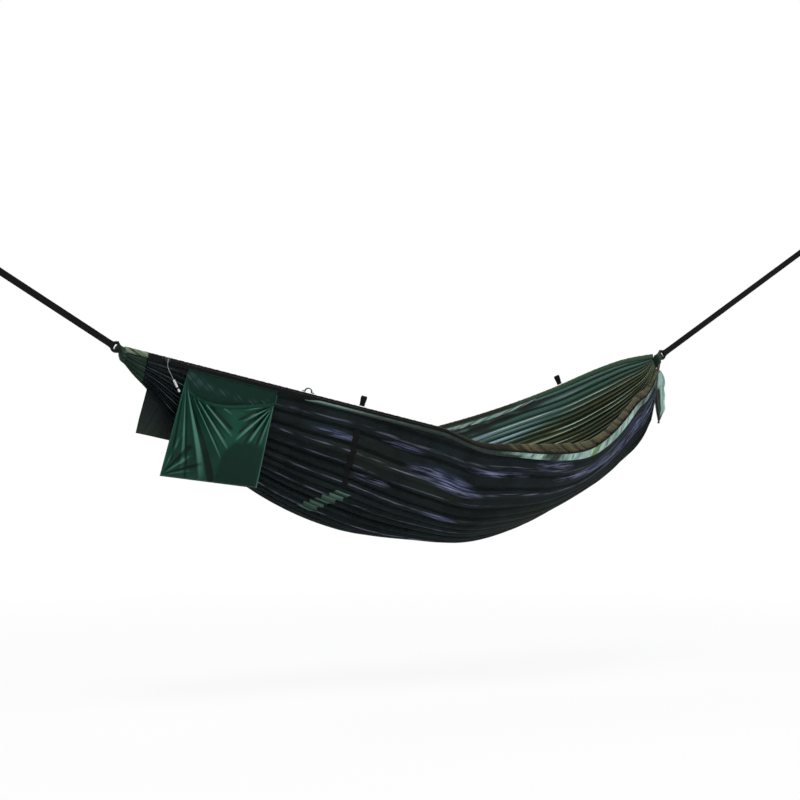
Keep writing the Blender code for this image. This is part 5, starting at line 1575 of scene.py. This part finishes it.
@dataclass
class Pocket:
    """The hanging pocket: back, bagging front, mouth hem, top hem and corner loop.

    A table of folds holds rows of an angle in degrees, a height in millimetres, half a width in degrees and a
    reach in metres, as seen from the corner that the folds run out from.
    """

    hammock: Hammock
    place: float = 0.268
    width: float = 0.343
    left_height: float = 0.397
    right_height: float = 0.360
    flare: float = 0.018
    straight: float = 0.046
    lap: float = 0.004
    hem_radius: float = 0.00175
    back_thickness: float = 0.0014
    front_thickness: float = 0.0012
    mouth_hem_width: float = 0.012
    mouth_gape: float = 0.0095
    bulge: float = 0.024
    left_hub: tuple[float, float] = (0.002, 0.040)
    left_folds: Rows = (
        (18, -4, 3, 0.2), (23, 6, 2.5, 0.22), (31, -9, 4.5, 0.25), (37, 9, 3, 0.27), (41.5, -5, 2, 0.26),
        (45.5, 7, 3, 0.31), (49.5, -4, 2, 0.28), (52.5, 5, 2, 0.34), (59, -11, 5, 0.4), (68, 8, 5.5, 0.38),
        (75, -5, 2, 0.36), (79.5, 5, 3.5, 0.33), (85, -4, 2.5, 0.3))
    right_hub: tuple[float, float] = (0.345, 0.050)
    right_folds: Rows = (
        (24, 4, 4, 0.12), (33, -5, 4, 0.15), (41, 5, 4, 0.14), (48, -6, 4, 0.17), (55, 9, 4, 0.2),
        (62, -7, 3.5, 0.2), (69, 8, 4, 0.2), (77, -5, 3, 0.18), (84, 5, 4, 0.17))
    foot_hub: tuple[float, float] = (0.004, 0.392)
    foot_folds: Rows = (
        (-78, 3, 5, 0.17), (-64, -5, 8, 0.15), (-47, 4, 7, 0.13), (-33, -4, 6, 0.15), (-20, 2, 8, 0.12))
    painted_glints: Rows = (
        (0.05, 0.05, 0.06, 0.04, 1.0), (0.15, 0.09, 0.07, 0.05, 0.9), (0.27, 0.11, 0.07, 0.04, 0.8),
        (0.42, 0.13, 0.08, 0.04, 0.7), (0.60, 0.15, 0.06, 0.04, 0.6), (0.78, 0.17, 0.08, 0.05, 0.8),
        (0.90, 0.14, 0.05, 0.05, 0.9))
    mouth_drop: float = 0.108
    mouth_shares: Rows = ((0, 0.36), (0.05, 0.68), (0.15, 0.9), (0.3, 1.0), (0.45, 0.98), (0.7, 0.8),
                          (0.9, 0.6), (1, 0.5))
    tape_foot: float = 0.016
    front_flat: tuple[float, float] = (0.37, 0.34)

    def hem_seat(self) -> tuple[float, float]:
        """Work out where the top hem lies, as it laps the foot of the tape.

        Returns:
            How far down the tape and how far out from it.
        """
        _, down, _ = self.hammock.tape_axes()
        top = self.tape_foot * (self.hammock.fall @ down) - self.lap + self.hem_radius
        return top, self.hammock.gap + self.hem_radius

    def fall(self, across: Array, below: Array) -> tuple[Array, Array]:
        """Places on the front, measured from its top left corner.

        Args:
            across: from 0 at the left edge to 1 at the right.
            below: from 0 at the mouth to 1 at the foot.

        Returns:
            Distances to the right, with the right edge's flare, and down.
        """
        foot = self.left_height + (self.right_height - self.left_height) * across
        mouth = self.mouth_drop * along(self.mouth_shares, across)
        down = mouth + (foot - mouth) * below
        return (self.width + self.flare * ramp(down, self.straight, foot - self.straight)) * across, down

    def smooth(self, place: Array, down: Array) -> Array:
        """How far a place lies inside the smooth lower right part, from 0 to 1."""
        beside = place - 0.185 - 0.7 * np.clip(0.265 - down, 0, 1)
        return ramp(beside, 0, 0.018) * ramp(down, 0.196 + 0.004 * np.sin(60 * place), 0.022)

    def folds(self, across: Array, below: Array) -> tuple[Array, Array]:
        """Sharp folds that run out from both upper corners and the lower left one.

        Each is a ridge or a valley whose height falls evenly to nothing at both sides of its angle, as seen
        from its corner, and swells and dies away along its reach. A ridge and its upper side get painted
        highlights, a valley and its lower side painted shade.

        Args:
            across: from 0 at the left edge to 1 at the right.
            below: from 0 at the mouth to 1 at the foot.

        Returns:
            The height of the folds, and the painted light and shade, from 0 in a valley to 1 on a ridge.
        """
        place, down = self.fall(across, below)
        total, pale = np.zeros(place.shape), np.zeros(place.shape)
        for hub, turn, rows in (
                (self.left_hub, 1.0, self.left_folds), (self.right_hub, -1.0, self.right_folds),
                (self.foot_hub, 1.0, self.foot_folds)):
            aside, low = turn * (place - hub[0]), down - hub[1]
            seen, reached = np.degrees(np.arctan2(low, aside)), np.hypot(aside, low)
            angle, height, width, reach = np.array(rows).T[:, :, None, None]
            ridge = np.clip(1 - np.abs(seen - angle) / width, 0, 1)
            swell = np.sin(np.pi * np.clip(reached / reach, 0, 1) ** 0.75)
            total = total + (height * MM * ridge * swell).sum(axis=0)
            # Painted light: ridges and the upper side of each fold paler, valleys and lower sides darker.
            lit = 0.55 * np.sign(height) + 0.75 * np.clip((angle - seen) / (0.2 * width), -1, 1)
            pale = pale + (lit * ridge**0.6 * swell**0.5 * np.abs(height / 8) ** 0.5).sum(axis=0)
        seams = ramp(np.minimum(across, 1 - across), 0, 0.03) * ramp(below, 1, -0.05)
        calm = 1 - self.smooth(place, down)
        edges = np.clip((0.012 - across) / 0.004, 0, 0.6) + ramp(across, 0.982, 0.004)
        return total * seams * calm, 0.5 + 0.5 * pale * calm + 0.3 * edges

    def out(self, across: Array, below: Array) -> Array:
        """How far the front stands off its flat place: it gapes at the mouth, bags out lower and is folded.

        Args:
            across: from 0 at the left edge to 1 at the right.
            below: from 0 at the mouth to 1 at the foot.

        Returns:
            The distance at each place, no less than zero.
        """
        gape = self.mouth_gape * (1 - below) ** 0.5
        bag = self.bulge * np.sin(np.pi * below**1.35) ** 1.2
        return np.maximum(np.sin(np.pi * across) ** 0.6 * (gape + bag) + self.folds(across, below)[0], 0)

    def build(self) -> None:
        """Build all five pieces of the pocket and the stitches along its foot."""
        hammock, cloth = self.hammock, POCKET_NYLON.make()
        top, away = self.hem_seat()
        across, below = np.linspace(0, 1, 201)[:, None], np.linspace(0, 1, 161)[None, :]
        seat = away + self.back_thickness / 2 + hammock.gap + self.front_thickness / 2
        place, down = self.fall(across, below)
        points = hammock.tape_point(self.place + place, top + down, seat + self.out(across, below))
        front = sheet_object("pocket_front_panel", points, STRIP_PLY, cloth)
        put_marks(front, self.folds(across, below)[1], self.smooth(place, down))
        foot, start = down[:, -1:], self.hem_radius + hammock.gap
        deep = start + (foot - start) * below
        wide = self.width + self.flare * ramp(deep, self.straight, foot - self.straight)
        dimple = 0.0006 * (waves(across * 3 + below, (1.0, 1.7, 2.9), (0.0, 0.3, 0.8)) - 1)
        points = hammock.tape_point(self.place + wide * across, top + deep, away + dimple)
        back = sheet_object("pocket_back_panel", points, STRIP_PLY, cloth)
        # The back panel is drawn dark, with painted grey glints at the listed spots.
        broken = 0.45 + 0.75 * waves(across * 2.5 - below * 4, (4.3, 7.1, 11.9), (0.0, 0.4, 0.7))
        put_marks(back, 0.5, 1.0, spots(self.painted_glints, across[:, 0], below[0]) * np.clip(broken, 0, 1))
        hem = self._mouth_hem(top, seat, cloth)
        roll = self._roll(top, away, cloth)
        loop = self._corner_loop(top, away, cloth)
        for piece, crest, dark in ((hem, 0.6, 0.3), (roll, 0.5, 1.0), (loop, 0.8, 0.0)):
            put_marks(piece, crest, dark)
        near_foot = (slice(None), -3)
        seam = hammock.tape_point(self.place + place[near_foot], top + down[near_foot],
                                  seat + self.out(across, below)[near_foot] + 0.0007)
        sewn = stitch_row("pocket_foot_stitches", seam, hammock.tape_axes()[1], stitch=0.0035,
                          width=0.0008, material=PALE_THREAD.make())
        for piece, node in ((front, "pocket_front"), (back, "pocket_back"), (hem, "pocket_mouth_hem"),
                            (roll, "pocket_top_hem"), (loop, "pocket_corner_loop"), (sewn, None)):
            dress(piece, "pocket", node)

    def _mouth_hem(self, top: float, seat: float, material: Material) -> Thing:
        """The mouth's folded hem, which follows the front's upper edge.

        Args:
            top: how far down the top hem lies.
            seat: how far out the flat front lies.
            material: its finish.

        Returns:
            The new object.
        """
        across = np.linspace(0, 1, 200)[:, None]
        x, y = stadium(1.0, 1.0).T
        mouth = self.mouth_drop * along(self.mouth_shares, across) - self.hammock.gap
        out = seat + self.out(across, np.zeros((1, 1))) + 0.0009
        ripple = 0.0005 * waves(across, (13, 23, 37), (0.1, 0.5, 0.8))
        down = top + mouth - self.mouth_hem_width * (0.5 + x)
        rings = self.hammock.tape_point(self.place + self.width * across, down, out + ripple + 0.0026 * y)
        return ring_object("pocket_mouth_fold", rings, material)

    def _roll(self, top: float, away: float, material: Material) -> Thing:
        """The pocket's rolled top hem, on its hinge line.

        Args:
            top: how far down it lies.
            away: how far out it lies.
            material: its finish.

        Returns:
            The new object.
        """
        places = np.linspace(self.place, self.place + self.width, 160)[:, None]
        swell = self.hem_radius * (0.95 + 0.05 * waves(places, (60, 97), (0.0, 0.4)))
        x, y = circle(1.0, 14).T
        rings = self.hammock.tape_point(places, top + swell * x, away + swell * y)
        return ring_object("pocket_top_roll", rings, material)

    def _corner_loop(self, top: float, away: float, material: Material) -> Thing:
        """The small loop of binding at the pocket's right upper corner.

        Args:
            top: how far down the top hem lies.
            away: how far out it lies.
            material: its finish.

        Returns:
            The new object.
        """
        run, down, out = self.hammock.tape_axes()
        base = self.hammock.tape_point(self.place + self.width + self.hammock.gap + 0.0015, top + 0.012, away)
        t = np.linspace(0, 1, 40)[:, None]
        half = 0.0009 + 0.0006 * np.sin(np.pi * t)
        line = (base + 0.033 * (1 - np.abs(2 * t - 1)) ** 0.9 * down
                + half * np.cos(np.pi * ramp(t, 0.42, 0.16)) * run)
        return ring_object("pocket_corner_binding", swept(line, stadium(0.008, STRIP_PLY, 12), out), material)


@dataclass
class Flaps:
    """The loose net flap at the left and the loose cloth tail at the right."""

    hammock: Hammock
    net: Net
    left_reach: float = 0.090
    left_foot: float = 0.306
    left_corner: float = 0.345
    left_flat: tuple[float, float] = (0.22, 0.10)
    left_area: float = 0.0195
    right_length: float = 0.232
    right_width: float = 0.058
    left_shares: Rows = ((0, 0), (0.1, -0.04), (0.3, -0.1), (0.6, 0.02), (1, 0.17))
    right_shares: Rows = ((0, 0.06), (0.07, 0.5), (0.3, 0.94), (0.36, 0.88), (0.5, 1.0), (0.62, 0.95),
                          (0.72, 0.98), (0.85, 0.66), (1, 0.2))

    def build(self) -> None:
        """Build both flaps."""
        self._left()
        self._right()

    def _left(self) -> None:
        """The left flap: a slanted sheet from the seam under the net to its foot, with two soft ripples."""
        first, last = np.array(self.net.seam)
        across, below = np.linspace(0, 1, 81)[:, None], np.linspace(0, 1, 61)[None, :]
        top = first + (last - first) * across[..., None]
        foot_x = self.left_reach + (last[0] - self.left_reach) * across
        foot_z = -(self.left_foot + (self.left_corner - self.left_foot) * across)
        x, z = (top[..., k] * (1 - below) + foot * below for k, foot in ((0, foot_x), (2, foot_z)))
        y = top[..., 1] + below * (0.004 * (1 + np.sin(2 * np.pi * (across + below / 2)))
                                   + 0.0008 * waves(across + 0.3 * below, (5.0, 8.3), (0.2, 0.6)))
        flap = sheet_object("left_flap_mesh", np.stack([x, y, z], -1), THIN_PLY, NET_MESH.make())
        ripple = waves(across * 1.4 + 0.3 * below, (5.0, 8.3, 13.0), (0.2, 0.6, 0.1))
        # Painted highlights and shade follow the flap's ripples, and it turns olive lower down.
        put_marks(flap, 0.45 + 0.25 * ripple, 1.3 * below**2)
        dress(flap, "left_flap", "left_net_flap")

    def _right(self) -> None:
        """The right tail: its width grows and shrinks down its length, and it ripples more lower down."""
        across, below = np.linspace(0, 1, 61)[:, None], np.linspace(0, 1, 91)[None, :]
        left, right = (self.right_width * along(rows, below)
                       for rows in (self.left_shares, self.right_shares))
        x = self.hammock.span - self.hammock.cloth_start + 0.0012 + left + (right - left) * across
        y = (0.006 * below * np.sin(np.pi * (across * 2 + below)) + 0.010 * np.sin(np.pi * below)
             + 0.003 * below * waves(across, (3.1, 5.3), (0.1, 0.7)))
        z = np.broadcast_to(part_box("right_end_flap")[1].z - self.right_length * below, x.shape)
        tail = sheet_object("right_tail_cloth", np.stack([x, y, z], -1), THIN_PLY, BORDER_NYLON.make())
        # Painted shade follows the tail's ripples; its left half is drawn dark lower down, and so is its
        # foot.
        ripple = waves(across + 0.2 * below, (2.1, 3.7, 6.3), (0.0, 0.4, 0.7))
        dark = ramp(below, 0.3, 0.1) * np.clip((0.5 - across + 0.1 * ripple) / 0.06, 0, 1)
        put_marks(tail, 0.5 + 0.9 * ripple, dark + np.clip((below - 0.85 + 0.1 * ripple) / 0.05, 0, 1))
        dress(tail, "right_flap", "right_end_flap")


@dataclass
class Studio:
    """The camera, the pale floor and the soft lights."""

    target: tuple[float, float, float] = (1.19, 0.0, -0.188)
    azimuth: float = float(np.radians(-32.0))
    distance: float = 8.0
    focal_pixels: float = 2078.0
    picture_pixels: float = 800.0
    sensor_mm: float = 36.0
    floor_depth: float = 1.32
    floor_reach: float = 30.0

    def build(self) -> None:
        """Build the camera, the world, the floor and the lamps."""
        self._camera()
        self._world()
        self._floor()
        for name, place, size, power in (
                ("key", (-1.2, -2.2, 4.2), 2.5, 190.0), ("fill", (3.4, -2.6, 1.8), 3.0, 40.0),
                ("back", (0.4, 3.2, 3.0), 3.0, 60.0)):
            self._lamp(name, Vector(self.target) + Vector(place), size, power)

    def _place(self, name: str, data: bpy.types.ID, place: Vector, heading: Vector) -> Thing:
        """Put a camera or a lamp at its place.

        Args:
            name: the new object's name.
            data: the camera or the light.
            place: where it stands.
            heading: the direction that it looks in.

        Returns:
            The new object.
        """
        thing = bpy.data.objects.new(name, data)
        thing.location = place
        thing.rotation_euler = heading.to_track_quat("-Z", "Y").to_euler()
        bpy.context.scene.collection.objects.link(thing)
        return thing

    def _camera(self) -> None:
        """The camera, level with the middle of the hammock, as far away as its perspective shows."""
        camera = bpy.data.cameras.new("camera")
        camera.sensor_width = self.sensor_mm
        camera.lens = self.sensor_mm * self.focal_pixels / self.picture_pixels
        back = Vector((np.sin(self.azimuth), -np.cos(self.azimuth), 0.0))
        scene = bpy.context.scene
        scene.camera = self._place("camera", camera, Vector(self.target) + back * self.distance, -back)
        scene.view_settings.view_transform = "Standard"

    def _world(self) -> None:
        """A soft grey light all round, which the camera, gloss and clear cloth see as white."""
        world = bpy.data.worlds.new("studio")
        world.use_nodes = True
        tree = world.node_tree
        path = add_node(tree, "LightPath").outputs
        seen = path["Is Camera Ray"]
        for ray in ("Is Transmission Ray", "Is Glossy Ray"):
            seen = add_node(tree, "Math", {0: seen, 1: path[ray]}, operation="MAXIMUM")
        soft = add_node(tree, tree.nodes["Background"], {"Color": linear("e6eaee"), "Strength": 0.42})
        white = add_node(tree, "Background", {"Color": (1, 1, 1, 1), "Strength": 1.0})
        mix = add_node(tree, "MixShader", {0: seen, 1: soft, 2: white})
        add_node(tree, tree.nodes["World Output"], {"Surface": mix})
        bpy.context.scene.world = world

    def _floor(self) -> None:
        """A pale floor that keeps a faint shadow, turns white further off and is clear from below."""
        material, tree, shader = new_material("pale_floor")
        add_node(tree, shader, {"Base Color": linear("ececec"), "Roughness": 0.9})
        place = add_node(tree, "TexCoord").outputs["Object"]
        away = add_node(tree, "VectorMath", {0: place, 1: (*self.target[:2], -self.floor_depth)},
                        operation="DISTANCE")
        white = add_node(tree, "MapRange", {"Value": away, "From Min": 2.0, "From Max": 4.5, "To Min": 0.88})
        seen = add_node(tree, "LightPath").outputs["Is Camera Ray"]
        share = add_node(tree, "Math", {0: seen, 1: white}, operation="MULTIPLY")
        glow = add_node(tree, "Emission", {"Color": (1, 1, 1, 1), "Strength": 1.0})
        mix = add_node(tree, "MixShader", {0: share, 1: shader, 2: glow})
        below = add_node(tree, "NewGeometry").outputs["Backfacing"]
        both = add_node(tree, "MixShader", {0: below, 1: mix, 2: add_node(tree, "BsdfTransparent")})
        add_node(tree, tree.nodes["Material Output"], {"Surface": both})
        mesh = bpy.data.meshes.new("floor")
        corners = [(x * self.floor_reach, y * self.floor_reach, -self.floor_depth)
                   for x, y in ((-1, -1), (1, -1), (1, 1), (-1, 1))]
        mesh.from_pydata(corners, [], [(0, 1, 2, 3)])
        mesh.materials.append(material)
        floor = bpy.data.objects.new("floor", mesh)
        bpy.context.scene.collection.objects.link(floor)

    def _lamp(self, name: str, place: Vector, size: float, power: float) -> None:
        """A large square lamp that faces the middle of the hammock.

        Args:
            name: its name.
            place: where it stands.
            size: its width.
            power: its power in watts.
        """
        lamp = bpy.data.lights.new(name, "AREA")
        lamp.size, lamp.energy = size, power
        self._place(name, lamp, place, Vector(self.target) - place)


def main() -> None:
    """Build the camera and cords first, then the cloth and its trim."""
    logging.basicConfig(level=logging.INFO, format="%(name)s: %(message)s")
    hammock = Hammock()
    net = Net(hammock)
    for part in (Studio(), Strap(hammock, Hang.LEFT, 0.655), Strap(hammock, Hang.RIGHT, 1.075), Ends(hammock),
                 Zip(hammock), Bed(hammock), net, Flaps(hammock, net), Tabs(hammock), Pocket(hammock)):
        part.build()


if __name__ == "__main__":
    main()
